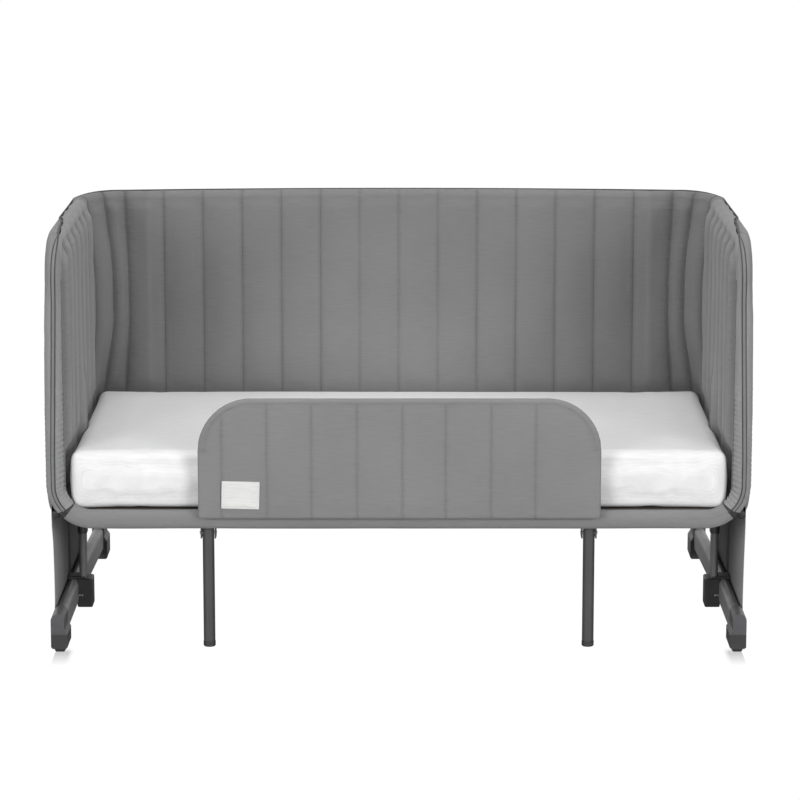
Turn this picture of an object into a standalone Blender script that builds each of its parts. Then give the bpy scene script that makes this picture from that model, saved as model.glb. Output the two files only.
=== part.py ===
"""Toddler bed: quilted walls on a tube frame, front guard, mattress, centre legs and two end feet.

The front faces -Y, +X is to the right and the floor is Z = 0.  Everything is in metres.
"""

import math

import bmesh
import bpy

# Clearance between two pieces that touch.
GAP = 0.0004

# Frame.
FRAME_X = 0.627  # centre of the side frame tubes
FRONT_Y = -0.320  # centre of the front rail and uprights
BACK_Y = 0.308  # centre of the back top rail
RAIL_Z = 0.2485  # centre of the rails around the base
TOP_Z = 0.7530  # centre of the top rail at its ends
CROWN = 0.005  # rise of the back top rail at its middle
FRAME_TUBE_R = 0.011
TUBE_WALL = 0.0015
FRONT_BEND_R = 0.0635  # front rail up into the upright
TOP_BEND_R = 0.065  # upright back into the top rail
BACK_BEND_R = 0.070  # top rail round the back corner
BASE_RAIL_X = 0.630
BASE_RAIL_Y = 0.302
BASE_RAIL_R = 0.008
BASE_BEND_R = 0.060
BASE_RAIL_FRONT_Y = -0.292
CROSS_BAR_X = 0.350
CROSS_BAR_Y = (-0.300, 0.293)
CROSS_BAR_Z = 0.244
CROSS_BAR_R = 0.0078

# Fabric.
TRIM_R = 0.018
TRIM_TOP_R = 0.0148
TRIM_WALL = 0.0032
RAIL_COVER_R = 0.0175
RAIL_COVER_ANGLE = 33.0  # how far the rail cover and the trim go round the front bend, in degrees
COLLAR_ANGLES = (36.0, 47.5)
TRIM_ANGLE = 50.5
COVER_X = 0.6435
COVER_THICK = 0.003
COVER_BOTTOM_Z = 0.236
LEAN_FROM_Z = 0.450  # above this the outer cover leans in to the top rail
ROLL_R = 0.0135
PAD_INNER_X = 0.600
PAD_OUTER_X = 0.639
PAD_BOTTOM_Z = 0.263
PAD_TOP_Z = 0.735
PAD_FRONT_Y = -0.290
PAD_NOTCH_Z = 0.714  # above this the side pads clear the bend of the upright
BACK_PAD_Y = (0.283, 0.3175)
PAD_CORNER_R = 0.085

# Mattress and guard.
MATTRESS_LOW = (-0.5955, -0.320, 0.2668)
MATTRESS_HIGH = (0.5955, 0.280, 0.367)
MATTRESS_EDGE = 0.019
BOARD_X = 0.5955
BOARD_Y = (-0.300, 0.281)
BOARD_Z = (0.2525, 0.2625)
GUARD_X = (-0.365, 0.368)
GUARD_Z = (0.253, 0.477)
GUARD_Y = (-0.355, -0.341)
GUARD_TOP_R = 0.095
GUARD_FOOT_R = 0.012
LABEL_SIZE = (0.069, 0.051)
LABEL_AT = (-0.291, 0.302)
LABEL_TILT = 1.5

# Centre legs.
CENTRE_LEG_Y = -0.295
CENTRE_LEG_R = 0.0108
CENTRE_LEG_FOOT_Z = 0.010
CENTRE_LEG_CAP = (0.0100, 0.0113, 0.0015, 0.028)  # sole radius, rim radius, chamfer, height
LEG_PIN_Z = 0.215
LEG_PIN_R = 0.003

# End feet.
POST_X = 0.6050
POST_Y = -0.050
POST_SIZE = (0.0138, 0.033)
POST_TOP_Z = 0.420
SLEEVE_SIZE = (0.018, 0.036)
SLEEVE_Z = (0.158, 0.430)
COLLAR_SIZE = (0.030, 0.056)
COLLAR_X = 0.6018
COLLAR_Z = (0.176, 0.228)
BUTTON_R = 0.007
BUTTON_Z = 0.195
POST_BOTTOM_Z = 0.028
FOOT_X = 0.6245
FOOT_TOE_IN = 0.0095  # the rear end of the base tube stands this much further in
TOE_IN_FROM_Y = -0.010
BASE_TUBE_SIZE = (0.022, 0.052)
BASE_TUBE_Z = (0.0455, 0.0405)  # centre at the front, over the wheel, and at the rear
BASE_TUBE_Y = (-0.311, 0.391)
FRONT_CAP_Y = (-0.360, -0.290)
REAR_CAP_Y = (0.370, 0.440)
CAP_ARCH_R = 0.0125
CAP_TOP_Z = 0.0765
CAP_CHEEK_X = (-0.0180, 0.0125)  # inner and outer cheek, from the tube's centre
CAP_CHEEK_Z = (0.038, 0.036, 0.046)  # inner cheek, outer cheek, foot of the arch
CAP_TOE = 0.003
FRONT_CAP_Z = 0.011
WHEEL_X = 0.6225
WHEEL_R = 0.0185
WHEEL_WIDTH = 0.0185
WHEEL_Y = -0.3355
AXLE_R = 0.003
AXLE_HALF = 0.0125
SOCKET_X = (0.5865, 0.6160)
SOCKET_HALF_Y = 0.022
SOCKET_Z = (0.014, 0.070)
STRAP_X = (0.600, 0.6355)
STRAP_HALF_Y = 0.018
STRAP_Z = (0.046, 0.0745)
SCREW_X = (0.6060, 0.6105)
SCREW_Z = 0.0385
SCREW_R = (0.0019, 0.0011)  # head and shank
SCREW_LENGTH = (0.0012, 0.0048)  # head, and the whole screw
SKIRT_X = (0.6403, 0.6416)
SKIRT_Y = (-0.2885, 0.234)
SKIRT_Z = (0.040, 0.440)

MIDDLE_Y = 0.040  # the box of the whole bed is centred here before it moves to the origin

SIDES = (("left", -1), ("right", 1))


def start_collections():
    for obj in list(bpy.data.objects):
        bpy.data.objects.remove(obj, do_unlink=True)
    made = []
    for name in ("toddler_bed", "cutters"):
        collection = bpy.data.collections.new(name)
        bpy.context.scene.collection.children.link(collection)
        made.append(collection)
    return made


PARTS, CUTTERS = start_collections()


def make_material(name, rgb, roughness, metallic=0.0):
    material = bpy.data.materials.new(name)
    material.use_nodes = True
    shader = material.node_tree.nodes["Principled BSDF"]
    shader.inputs["Base Color"].default_value = (*rgb, 1.0)
    shader.inputs["Roughness"].default_value = roughness
    shader.inputs["Metallic"].default_value = metallic
    return material


GREY_FABRIC = make_material("grey_fabric", (0.22, 0.22, 0.22), 0.9)
WHITE_COVER = make_material("white_cover", (0.85, 0.85, 0.85), 0.9)
LABEL_CLOTH = make_material("label_cloth", (0.80, 0.80, 0.78), 0.8)
POWDER_COAT = make_material("powder_coat", (0.12, 0.12, 0.125), 0.45, 0.3)
BARE_TUBE = make_material("bare_tube", (0.45, 0.45, 0.46), 0.35, 0.9)
DARK_PLASTIC = make_material("dark_plastic", (0.06, 0.06, 0.065), 0.5)
WHEEL_PLASTIC = make_material("wheel_plastic", (0.03, 0.03, 0.03), 0.55)
STEEL = make_material("steel", (0.6, 0.6, 0.6), 0.25, 1.0)
BOARD = make_material("board", (0.45, 0.34, 0.22), 0.7)


def place(obj, material=None, parent=None, collection=PARTS):
    """Link an object, give it its material and hang it on an axis empty without moving it."""
    collection.objects.link(obj)
    if material:
        obj.data.materials.append(material)
    if parent:
        obj.parent = parent
        obj.matrix_parent_inverse = parent.matrix_world.inverted()
    return obj


def axis_empty(name, location):
    """An empty that marks where a moving group turns or slides."""
    empty = bpy.data.objects.new(name, None)
    empty.location = location
    empty.empty_display_size = 0.03
    PARTS.objects.link(empty)
    bpy.context.view_layer.update()
    return empty


def smooth(mesh, angle=40):
    mesh.shade_smooth()
    mesh.set_sharp_from_angle(angle=math.radians(angle))


def new_mesh(name, work):
    mesh = bpy.data.meshes.new(name)
    work.to_mesh(mesh)
    work.free()
    smooth(mesh)
    return bpy.data.objects.new(name, mesh)


def box(name, low, high):
    work = bmesh.new()
    bmesh.ops.create_cube(work, size=1.0)
    for vert in work.verts:
        vert.co = [low[i] + (vert.co[i] + 0.5) * (high[i] - low[i]) for i in range(3)]
    return new_mesh(name, work)


def rod(name, start, axis, length, radius, sides=32):
    """A cylinder from `start` along +X, +Y or +Z, with its origin at `start`."""
    work = bmesh.new()
    bmesh.ops.create_cone(
        work, cap_ends=True, segments=sides, radius1=radius, radius2=radius, depth=length
    )
    bmesh.ops.translate(work, verts=work.verts, vec=(0, 0, length / 2))
    obj = new_mesh(name, work)
    obj.location = start
    obj.rotation_euler = {"x": (0, math.pi / 2, 0), "y": (-math.pi / 2, 0, 0), "z": (0, 0, 0)}[axis]
    return obj


def poly_curve(name, points, closed=False, flat=False, radii=None):
    curve = bpy.data.curves.new(name, "CURVE")
    curve.dimensions = "2D" if flat else "3D"
    spline = curve.splines.new("POLY")
    spline.points.add(len(points) - 1)
    for i, point in enumerate(points):
        spline.points[i].co = (*point, 0, 1) if flat else (*point, 1)
        spline.points[i].radius = radii[i] if radii else 1.0
    spline.use_cyclic_u = closed
    return bpy.data.objects.new(name, curve)


def add_hole(obj, points):
    spline = obj.data.splines.new("POLY")
    spline.points.add(len(points) - 1)
    for i, point in enumerate(points):
        spline.points[i].co = (*point, 0, 1)
    spline.use_cyclic_u = True


def pipe(name, points, radius, wall=0.0, radii=None, resolution=3):
    """A round tube along a route: solid with filled caps, or hollow with open ends where it has a wall."""
    obj = poly_curve(name, points, radii=radii)
    obj.data.bevel_depth = radius
    obj.data.bevel_resolution = resolution
    obj.data.use_fill_caps = wall == 0
    if wall:
        shell = obj.modifiers.new("wall", "SOLIDIFY")
        shell.thickness = wall
        shell.offset = -1
    return obj


def plate(name, outline, depth, hole=None):
    """A flat outline with thickness `depth`, centred on its own plane."""
    obj = poly_curve(name, outline, closed=True, flat=True)
    if hole:
        add_hole(obj, hole)
    obj.data.fill_mode = "BOTH"
    obj.data.extrude = depth / 2
    return obj


def upright_plate(name, outline, y_low, y_high):
    """An outline in X and Z, extruded from one Y to another."""
    obj = plate(name, outline, y_high - y_low)
    obj.rotation_euler = (math.pi / 2, 0, 0)
    obj.location = (0, (y_low + y_high) / 2, 0)
    return obj


def level_plate(name, outline, z_low, z_high, hole=None):
    """An outline in X and Y, extruded from one height to another."""
    obj = plate(name, outline, z_high - z_low, hole)
    obj.location = (0, 0, (z_low + z_high) / 2)
    return obj


def as_mesh(obj):
    """The mesh that a curve makes, as a new object in the curve's place."""
    CUTTERS.objects.link(obj)
    bpy.context.view_layer.update()
    graph = bpy.context.evaluated_depsgraph_get()
    mesh = bpy.data.meshes.new_from_object(obj.evaluated_get(graph))
    work = bmesh.new()
    work.from_mesh(mesh)
    bmesh.ops.remove_doubles(work, verts=work.verts, dist=0.00001)
    bmesh.ops.recalc_face_normals(work, faces=work.faces)
    work.to_mesh(mesh)
    work.free()
    smooth(mesh)
    name, matrix = obj.name, obj.matrix_world.copy()
    bpy.data.objects.remove(obj, do_unlink=True)
    made = bpy.data.objects.new(name, mesh)
    made.matrix_world = matrix
    return made


def combine(obj, other, operation="DIFFERENCE"):
    """Cut or join another shape, which becomes a hidden helper."""
    if other.name not in CUTTERS.objects:
        CUTTERS.objects.link(other)
    other.hide_render = True
    other.display_type = "WIRE"
    boolean = obj.modifiers.new(operation.lower(), "BOOLEAN")
    boolean.operation = operation
    boolean.solver = "EXACT"
    boolean.object = other
    return obj


def soften(obj, width, segments=2, angle=40):
    bevel = obj.modifiers.new("edges", "BEVEL")
    bevel.width = width
    bevel.segments = segments
    bevel.limit_method = "ANGLE"
    bevel.angle_limit = math.radians(angle)
    return obj


def arc(centre, radius, start, end, steps):
    """Points of a circular arc, its angles in degrees from the first axis."""
    turn = [math.radians(start + (end - start) * i / steps) for i in range(steps + 1)]
    return [(centre[0] + radius * math.cos(a), centre[1] + radius * math.sin(a)) for a in turn]


def stadium(centre, size, steps=8):
    """A flat oval, long along its second axis, with round ends."""
    radius = size[0] / 2
    reach = size[1] / 2 - radius
    top = arc((centre[0], centre[1] + reach), radius, 0, 180, steps)
    return top + arc((centre[0], centre[1] - reach), radius, 180, 360, steps)


def rounded_rectangle(low, high, radii, steps=5):
    """Corner radii go bottom left, bottom right, top right, top left."""
    corners = [
        (low[0], low[1], 1, 1, 180),
        (high[0], low[1], -1, 1, 270),
        (high[0], high[1], -1, -1, 0),
        (low[0], high[1], 1, -1, 90),
    ]
    points = []
    for (x, y, to_x, to_y, start), radius in zip(corners, radii):
        centre = (x + to_x * radius, y + to_y * radius)
        points += arc(centre, radius, start, start + 90, steps)
    return points


def shell_from(name, columns, rows, at, thickness):
    """A sheet whose grid points are put in place by `at(u, v)`, both from 0 to 1, then given a thickness."""
    work = bmesh.new()
    bmesh.ops.create_grid(work, x_segments=columns, y_segments=rows, size=0.5)
    for vert in work.verts:
        vert.co = at(vert.co.x + 0.5, vert.co.y + 0.5)
    obj = new_mesh(name, work)
    wall = obj.modifiers.new("thickness", "SOLIDIFY")
    wall.thickness = thickness
    wall.offset = 0
    return obj


# ---------- frame ----------


def front_bend(side, degrees):
    """A point on the bend from the front rail up into the upright."""
    angle = math.radians(degrees)
    x = FRAME_X - FRONT_BEND_R + FRONT_BEND_R * math.sin(angle)
    return (side * x, FRONT_Y, RAIL_Z + FRONT_BEND_R - FRONT_BEND_R * math.cos(angle))


def bend_points(side, start, end, steps):
    return [front_bend(side, start + (end - start) * i / steps) for i in range(steps + 1)]


def top_bend_points(side, steps):
    route = arc((FRONT_Y + TOP_BEND_R, TOP_Z - TOP_BEND_R), TOP_BEND_R, 180, 90, steps)
    return [(side * FRAME_X, y, z) for y, z in route]


def back_bend_points(side, steps):
    centre = (FRAME_X - BACK_BEND_R, BACK_Y - BACK_BEND_R)
    return [(side * x, y, TOP_Z) for x, y in arc(centre, BACK_BEND_R, 0, 90, steps)]


FRONT_TUBE_END_X = FRAME_X - FRONT_BEND_R - 0.020
BACK_TUBE_END_X = FRAME_X - BACK_BEND_R - 0.010


def build_frame():
    half = FRONT_TUBE_END_X - GAP
    rail = pipe(
        "front_rail", [(-half, FRONT_Y, RAIL_Z), (half, FRONT_Y, RAIL_Z)], FRAME_TUBE_R, TUBE_WALL
    )
    place(rail, POWDER_COAT)
    for side_name, side in SIDES:
        route = [(side * FRONT_TUBE_END_X, FRONT_Y, RAIL_Z)]
        route += bend_points(side, 0, 90, 8)
        route += top_bend_points(side, 8)
        route += back_bend_points(side, 8)
        route.append((side * BACK_TUBE_END_X, BACK_Y, TOP_Z))
        place(pipe(f"{side_name}_side_frame", route, FRAME_TUBE_R, TUBE_WALL), POWDER_COAT)
        build_base_corner(side_name, side)
    half = BACK_TUBE_END_X - GAP
    steps = 8
    spread = [-half + 2 * half * i / steps for i in range(steps + 1)]
    route = [(x, BACK_Y, TOP_Z + CROWN * (1 - (x / half) ** 2)) for x in spread]
    place(pipe("back_top_rail", route, FRAME_TUBE_R, TUBE_WALL), POWDER_COAT)
    half = BASE_RAIL_X - BASE_BEND_R
    route = [(-half, BASE_RAIL_Y, RAIL_Z), (half, BASE_RAIL_Y, RAIL_Z)]
    place(pipe("back_base_rail", route, BASE_RAIL_R, TUBE_WALL), POWDER_COAT)
    board = box("base_board", (-BOARD_X, BOARD_Y[0], BOARD_Z[0]), (BOARD_X, BOARD_Y[1], BOARD_Z[1]))
    place(board, BOARD)


def build_base_corner(side_name, side):
    """The side base rail, its rear elbow with spigots, the plastic collar at the front and a cross bar."""
    bend_y = BASE_RAIL_Y - BASE_BEND_R
    rail = pipe(
        f"{side_name}_base_rail",
        [(side * BASE_RAIL_X, BASE_RAIL_FRONT_Y, RAIL_Z), (side * BASE_RAIL_X, bend_y, RAIL_Z)],
        BASE_RAIL_R,
        TUBE_WALL,
    )
    place(rail, POWDER_COAT)
    spigot = 0.018
    shoulder = GAP
    narrow = (BASE_RAIL_R - TUBE_WALL - GAP) / BASE_RAIL_R
    bend_x = BASE_RAIL_X - BASE_BEND_R
    bend = arc((bend_x, bend_y), BASE_BEND_R, 0, 90, 6)
    bend[0] = (BASE_RAIL_X, bend_y + 2 * shoulder)
    bend[-1] = (bend_x + 2 * shoulder, BASE_RAIL_Y)
    route = [(BASE_RAIL_X, bend_y - spigot), (BASE_RAIL_X, bend_y + shoulder)] + bend
    route += [(bend_x + shoulder, BASE_RAIL_Y), (bend_x - spigot, BASE_RAIL_Y)]
    radii = [narrow, narrow] + [1.0] * len(bend) + [narrow, narrow]
    points = [(side * x, y, RAIL_Z) for x, y in route]
    place(pipe(f"{side_name}_rear_elbow", points, BASE_RAIL_R, radii=radii), DARK_PLASTIC)
    collar = pipe(
        f"{side_name}_corner_collar", bend_points(side, *COLLAR_ANGLES, 4), TRIM_R - 0.002, TRIM_WALL
    )
    place(collar, DARK_PLASTIC)
    bar = pipe(
        f"{side_name}_cross_bar",
        [(side * CROSS_BAR_X, y, CROSS_BAR_Z) for y in CROSS_BAR_Y],
        CROSS_BAR_R,
        TUBE_WALL,
    )
    place(bar, POWDER_COAT)


# ---------- fabric ----------

PANEL_ROWS, BEND_ROWS, ROLL_ROWS = 4, 7, 9
BEND_STEPS, STRAIGHT_STEPS = 8, 8
COVER_ROWS = PANEL_ROWS + BEND_ROWS + ROLL_ROWS


def cover_section(v):
    """The outer cover from its bottom edge up and over the top rail: (out from the rail, height)."""
    row = v * COVER_ROWS
    bend_z = TOP_Z - TOP_BEND_R
    if row > PANEL_ROWS + BEND_ROWS:
        angle = math.pi * (row - PANEL_ROWS - BEND_ROWS) / ROLL_ROWS
        return ROLL_R * math.cos(angle), TOP_Z + ROLL_R * math.sin(angle)
    if row > PANEL_ROWS:
        z = bend_z + TOP_BEND_R * (row - PANEL_ROWS) / BEND_ROWS
    elif row > PANEL_ROWS / 2:
        z = LEAN_FROM_Z + (bend_z - LEAN_FROM_Z) * (row - PANEL_ROWS / 2) / (PANEL_ROWS / 2)
    else:
        z = COVER_BOTTOM_Z + (LEAN_FROM_Z - COVER_BOTTOM_Z) * row / (PANEL_ROWS / 2)
    lean = (COVER_X - FRAME_X - ROLL_R) * max(0.0, (z - LEAN_FROM_Z) / (TOP_Z - LEAN_FROM_Z))
    return COVER_X - FRAME_X - lean, z


def pad_corner(start, end):
    """The wall padding's outer back corner, seen from above."""
    return arc((PAD_OUTER_X - PAD_CORNER_R, BACK_PAD_Y[1] - PAD_CORNER_R), PAD_CORNER_R, start, end, 6)


def pad_corner_angle(y):
    return math.degrees(math.asin((y - BACK_PAD_Y[1] + PAD_CORNER_R) / PAD_CORNER_R))


def build_side_fabric(side_name, side):
    back_y = BACK_PAD_Y[0] - GAP
    outline = [(PAD_INNER_X, back_y), (PAD_INNER_X, PAD_FRONT_Y), (PAD_OUTER_X, PAD_FRONT_Y)]
    outline += pad_corner(0, pad_corner_angle(back_y))
    outline = [(side * x, y) for x, y in outline]
    pad = as_mesh(level_plate(f"{side_name}_wall_pad", outline, PAD_BOTTOM_Z, PAD_TOP_Z))
    slot_x = sorted((side * (POST_X - SLEEVE_SIZE[0] / 2 - GAP), side * (PAD_OUTER_X + 0.01)))
    slot_half = SLEEVE_SIZE[1] / 2 + GAP
    slot = box(
        f"{side_name}_pad_slot",
        (slot_x[0], POST_Y - slot_half, PAD_BOTTOM_Z - 0.01),
        (slot_x[1], POST_Y + slot_half, SLEEVE_Z[1] + 0.004),
    )
    notch = box(
        f"{side_name}_pad_notch",
        (min(slot_x) - PAD_OUTER_X + PAD_INNER_X, PAD_FRONT_Y - 0.01, PAD_NOTCH_Z),
        (max(slot_x) + PAD_OUTER_X - PAD_INNER_X, FRONT_Y + TOP_BEND_R + 0.0015, PAD_TOP_Z + 0.01),
    )
    place(combine(combine(pad, slot), notch), GREY_FABRIC)

    bend_y = FRONT_Y + TOP_BEND_R
    bend_z = TOP_Z - TOP_BEND_R
    inner_r = TOP_BEND_R - TRIM_R - GAP

    def at(u, v):
        offset, z = cover_section(v)
        front = bend_y - inner_r
        if z > bend_z:
            front = bend_y - math.sqrt(max(inner_r**2 - (z - bend_z) ** 2, 0))
        front += 0.001
        back = BACK_Y - BACK_BEND_R - GAP
        return (side * (FRAME_X + offset), front + u * (back - front), z)

    cover = shell_from(f"{side_name}_outer_cover", 6, COVER_ROWS, at, COVER_THICK)
    if side < 0:
        cover.data.flip_normals()
    place(cover, GREY_FABRIC)

    route = bend_points(side, TRIM_ANGLE, 90, 4) + top_bend_points(side, 7)
    taper = (TRIM_TOP_R / TRIM_R - 1) / 7
    radii = [1.0] * 5 + [1 + taper * i for i in range(8)]
    trim = pipe(f"{side_name}_front_trim", route, TRIM_R, TRIM_WALL, radii)
    place(trim, GREY_FABRIC)


def build_back_fabric():
    right = pad_corner(pad_corner_angle(BACK_PAD_Y[0]), 90)
    left = [(-x, y) for x, y in reversed(right)]
    pad = level_plate("back_wall_pad", right + left, PAD_BOTTOM_Z, PAD_TOP_Z)
    place(pad, GREY_FABRIC)

    straight = FRAME_X - BACK_BEND_R

    def plan(u):
        """Where the cover's route is along the back, and which way is outward there."""
        column = (u - 0.5) * (2 * BEND_STEPS + STRAIGHT_STEPS)
        side = math.copysign(1, column)
        over = abs(column) - STRAIGHT_STEPS / 2
        if over <= 0:
            return column / (STRAIGHT_STEPS / 2) * straight, BACK_Y, 0.0, 1.0
        angle = math.pi / 2 * over / BEND_STEPS
        x = straight + BACK_BEND_R * math.sin(angle)
        y = BACK_Y - BACK_BEND_R + BACK_BEND_R * math.cos(angle)
        return side * x, y, side * math.sin(angle), math.cos(angle)

    def at(u, v):
        x, y, out_x, out_y = plan(u)
        offset, z = cover_section(v)
        crown = CROWN * max(0.0, 1 - (x / BACK_TUBE_END_X) ** 2)
        crown *= min(1.0, (z - COVER_BOTTOM_Z) / (TOP_Z - COVER_BOTTOM_Z))
        return (x + out_x * offset, y + out_y * offset, z + crown)

    cover = shell_from("back_outer_cover", 2 * BEND_STEPS + STRAIGHT_STEPS, COVER_ROWS, at, COVER_THICK)
    cover.data.flip_normals()
    place(cover, GREY_FABRIC)


def build_rail_cover():
    left = bend_points(-1, RAIL_COVER_ANGLE, 0, 3)
    right = bend_points(1, 0, RAIL_COVER_ANGLE, 3)
    place(pipe("front_rail_cover", left + right, RAIL_COVER_R, 0.0055), GREY_FABRIC)


def build_mattress_and_guard():
    lift = axis_empty("mattress_lift_axis", (0, -0.020, MATTRESS_LOW[2]))
    mattress = soften(box("mattress", MATTRESS_LOW, MATTRESS_HIGH), MATTRESS_EDGE, 3)
    place(mattress, WHITE_COVER, lift)

    lift = axis_empty("guard_lift_axis", (0, GUARD_Y[0], GUARD_Z[0]))
    radii = (GUARD_FOOT_R, GUARD_FOOT_R, GUARD_TOP_R, GUARD_TOP_R)
    shape = rounded_rectangle((GUARD_X[0], GUARD_Z[0]), (GUARD_X[1], GUARD_Z[1]), radii, 8)
    guard = as_mesh(upright_plate("front_guard", shape, *GUARD_Y))
    place(guard, GREY_FABRIC, lift)

    half_w, half_h = LABEL_SIZE[0] / 2, LABEL_SIZE[1] / 2
    label = box("guard_label", (-half_w, -0.0004, -half_h), (half_w, 0.0004, half_h))
    label.location = (LABEL_AT[0], GUARD_Y[0] - 0.0008, LABEL_AT[1])
    label.rotation_euler = (0, math.radians(LABEL_TILT), 0)
    bpy.context.view_layer.update()
    place(label, LABEL_CLOTH, lift)


# ---------- centre legs ----------


def build_centre_leg(side_name, side):
    x = side * CROSS_BAR_X
    top = LEG_PIN_Z + CENTRE_LEG_R
    foot_z = CENTRE_LEG_FOOT_Z
    pivot = axis_empty(f"{side_name}_centre_leg_axis", (x, CENTRE_LEG_Y, LEG_PIN_Z))
    leg = rod(f"{side_name}_centre_leg", (x, CENTRE_LEG_Y, foot_z), "z", top - foot_z, CENTRE_LEG_R)
    bore_depth = 0.160
    bore = rod(
        f"{side_name}_leg_bore", (x, CENTRE_LEG_Y, foot_z - 0.01), "z", bore_depth, CENTRE_LEG_R - TUBE_WALL
    )
    hole = rod(
        f"{side_name}_leg_pin_hole", (x - 0.02, CENTRE_LEG_Y, LEG_PIN_Z), "x", 0.04, LEG_PIN_R + GAP, 20
    )
    place(combine(combine(leg, bore), hole), POWDER_COAT, pivot)

    plug_r = CENTRE_LEG_R - TUBE_WALL - GAP
    sole_r, rim_r, chamfer, cap_top = CENTRE_LEG_CAP
    profile = [(0.0, 0.0), (sole_r, 0.0), (rim_r, chamfer), (rim_r, foot_z - GAP)]
    profile += [(plug_r, foot_z - GAP), (plug_r, cap_top), (0.0, cap_top)]
    cap = turned(f"{side_name}_leg_cap", profile, 32)
    cap.location = (x, CENTRE_LEG_Y, 0)
    bpy.context.view_layer.update()
    place(cap, DARK_PLASTIC, pivot)

    cheek_in, cheek_out = CENTRE_LEG_R + 0.0008, CENTRE_LEG_R + 0.0034
    ceiling = CROSS_BAR_Z - CROSS_BAR_R - GAP
    clevis = box(
        f"{side_name}_leg_clevis",
        (x - cheek_out, CENTRE_LEG_Y - 0.006, LEG_PIN_Z - 0.010),
        (x + cheek_out, CENTRE_LEG_Y + 0.018, ceiling),
    )
    inside = box(
        f"{side_name}_clevis_room",
        (x - cheek_in, CENTRE_LEG_Y - 0.02, LEG_PIN_Z - 0.02),
        (x + cheek_in, CENTRE_LEG_Y + 0.03, ceiling - 0.003),
    )
    bore = rod(
        f"{side_name}_clevis_bore", (x - 0.02, CENTRE_LEG_Y, LEG_PIN_Z), "x", 0.04, LEG_PIN_R + GAP, 20
    )
    place(combine(combine(clevis, inside), bore), POWDER_COAT)
    head = 0.0015
    pin = rod(
        f"{side_name}_leg_pin",
        (x - cheek_out - head, CENTRE_LEG_Y, LEG_PIN_Z),
        "x",
        2 * (cheek_out + head),
        LEG_PIN_R,
        20,
    )
    place(pin, STEEL)


def turned(name, profile, steps=24):
    """A profile of (radius, height) points turned about its own Z axis."""
    mesh = bpy.data.meshes.new(name)
    points = [(radius, 0, height) for radius, height in profile]
    edges = [(i, i + 1) for i in range(len(points) - 1)]
    mesh.from_pydata(points, edges, [])
    obj = bpy.data.objects.new(name, mesh)
    screw = obj.modifiers.new("turn", "SCREW")
    screw.axis = "Z"
    screw.steps = steps
    screw.render_steps = steps
    screw.use_merge_vertices = True
    screw.merge_threshold = 0.00005
    screw.use_normal_flip = True
    return obj


# ---------- end feet ----------


def foot_centre(y):
    """The base tube's centre at y, on the right-hand side: straight, then turning in towards the rear."""
    low_y, high_y = BASE_TUBE_Y
    turned_in = max(0.0, (y - TOE_IN_FROM_Y) / (high_y - TOE_IN_FROM_Y))
    x = FOOT_X - FOOT_TOE_IN * turned_in
    front_z, rear_z = BASE_TUBE_Z
    return x, front_z + (rear_z - front_z) * (y - low_y) / (high_y - low_y)


def cap_outline(side, centre_x, bottom):
    """A foot cap from the front: an arch over the base tube, and a wider toe below that reaches inward."""
    inner, outer = (centre_x + reach for reach in CAP_CHEEK_X)
    inner_z, outer_z, arch_z = CAP_CHEEK_Z
    toe_z = bottom + CAP_TOE
    outline = [(outer - CAP_TOE, bottom), (outer, toe_z), (outer, outer_z)]
    outline += [(centre_x + CAP_ARCH_R, arch_z)]
    outline += arc((centre_x, CAP_TOP_Z - CAP_ARCH_R), CAP_ARCH_R, 0, 180, 12)
    outline += [(centre_x - CAP_ARCH_R, arch_z)]
    outline += [(inner, inner_z), (inner, toe_z), (inner + CAP_TOE, bottom)]
    return [(side * x, z) for x, z in outline]


def base_tube(name, side, grow, low_y, high_y):
    """The floor tube; a grown copy of it cuts the sockets of the pieces around it."""
    section = plate(f"{name}_section", stadium((0, 0), [s + 2 * grow for s in BASE_TUBE_SIZE]), 0)
    section.data.fill_mode = "NONE"
    CUTTERS.objects.link(section)
    section.hide_render = True
    section.display_type = "WIRE"
    route = []
    for y in (low_y, TOE_IN_FROM_Y, high_y):
        x, z = foot_centre(y)
        route.append((side * x, y, z))
    tube = poly_curve(name, route)
    tube.data.twist_mode = "Z_UP"
    tube.data.bevel_mode = "OBJECT"
    tube.data.bevel_object = section
    tube.data.use_fill_caps = True
    return as_mesh(tube)


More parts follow.
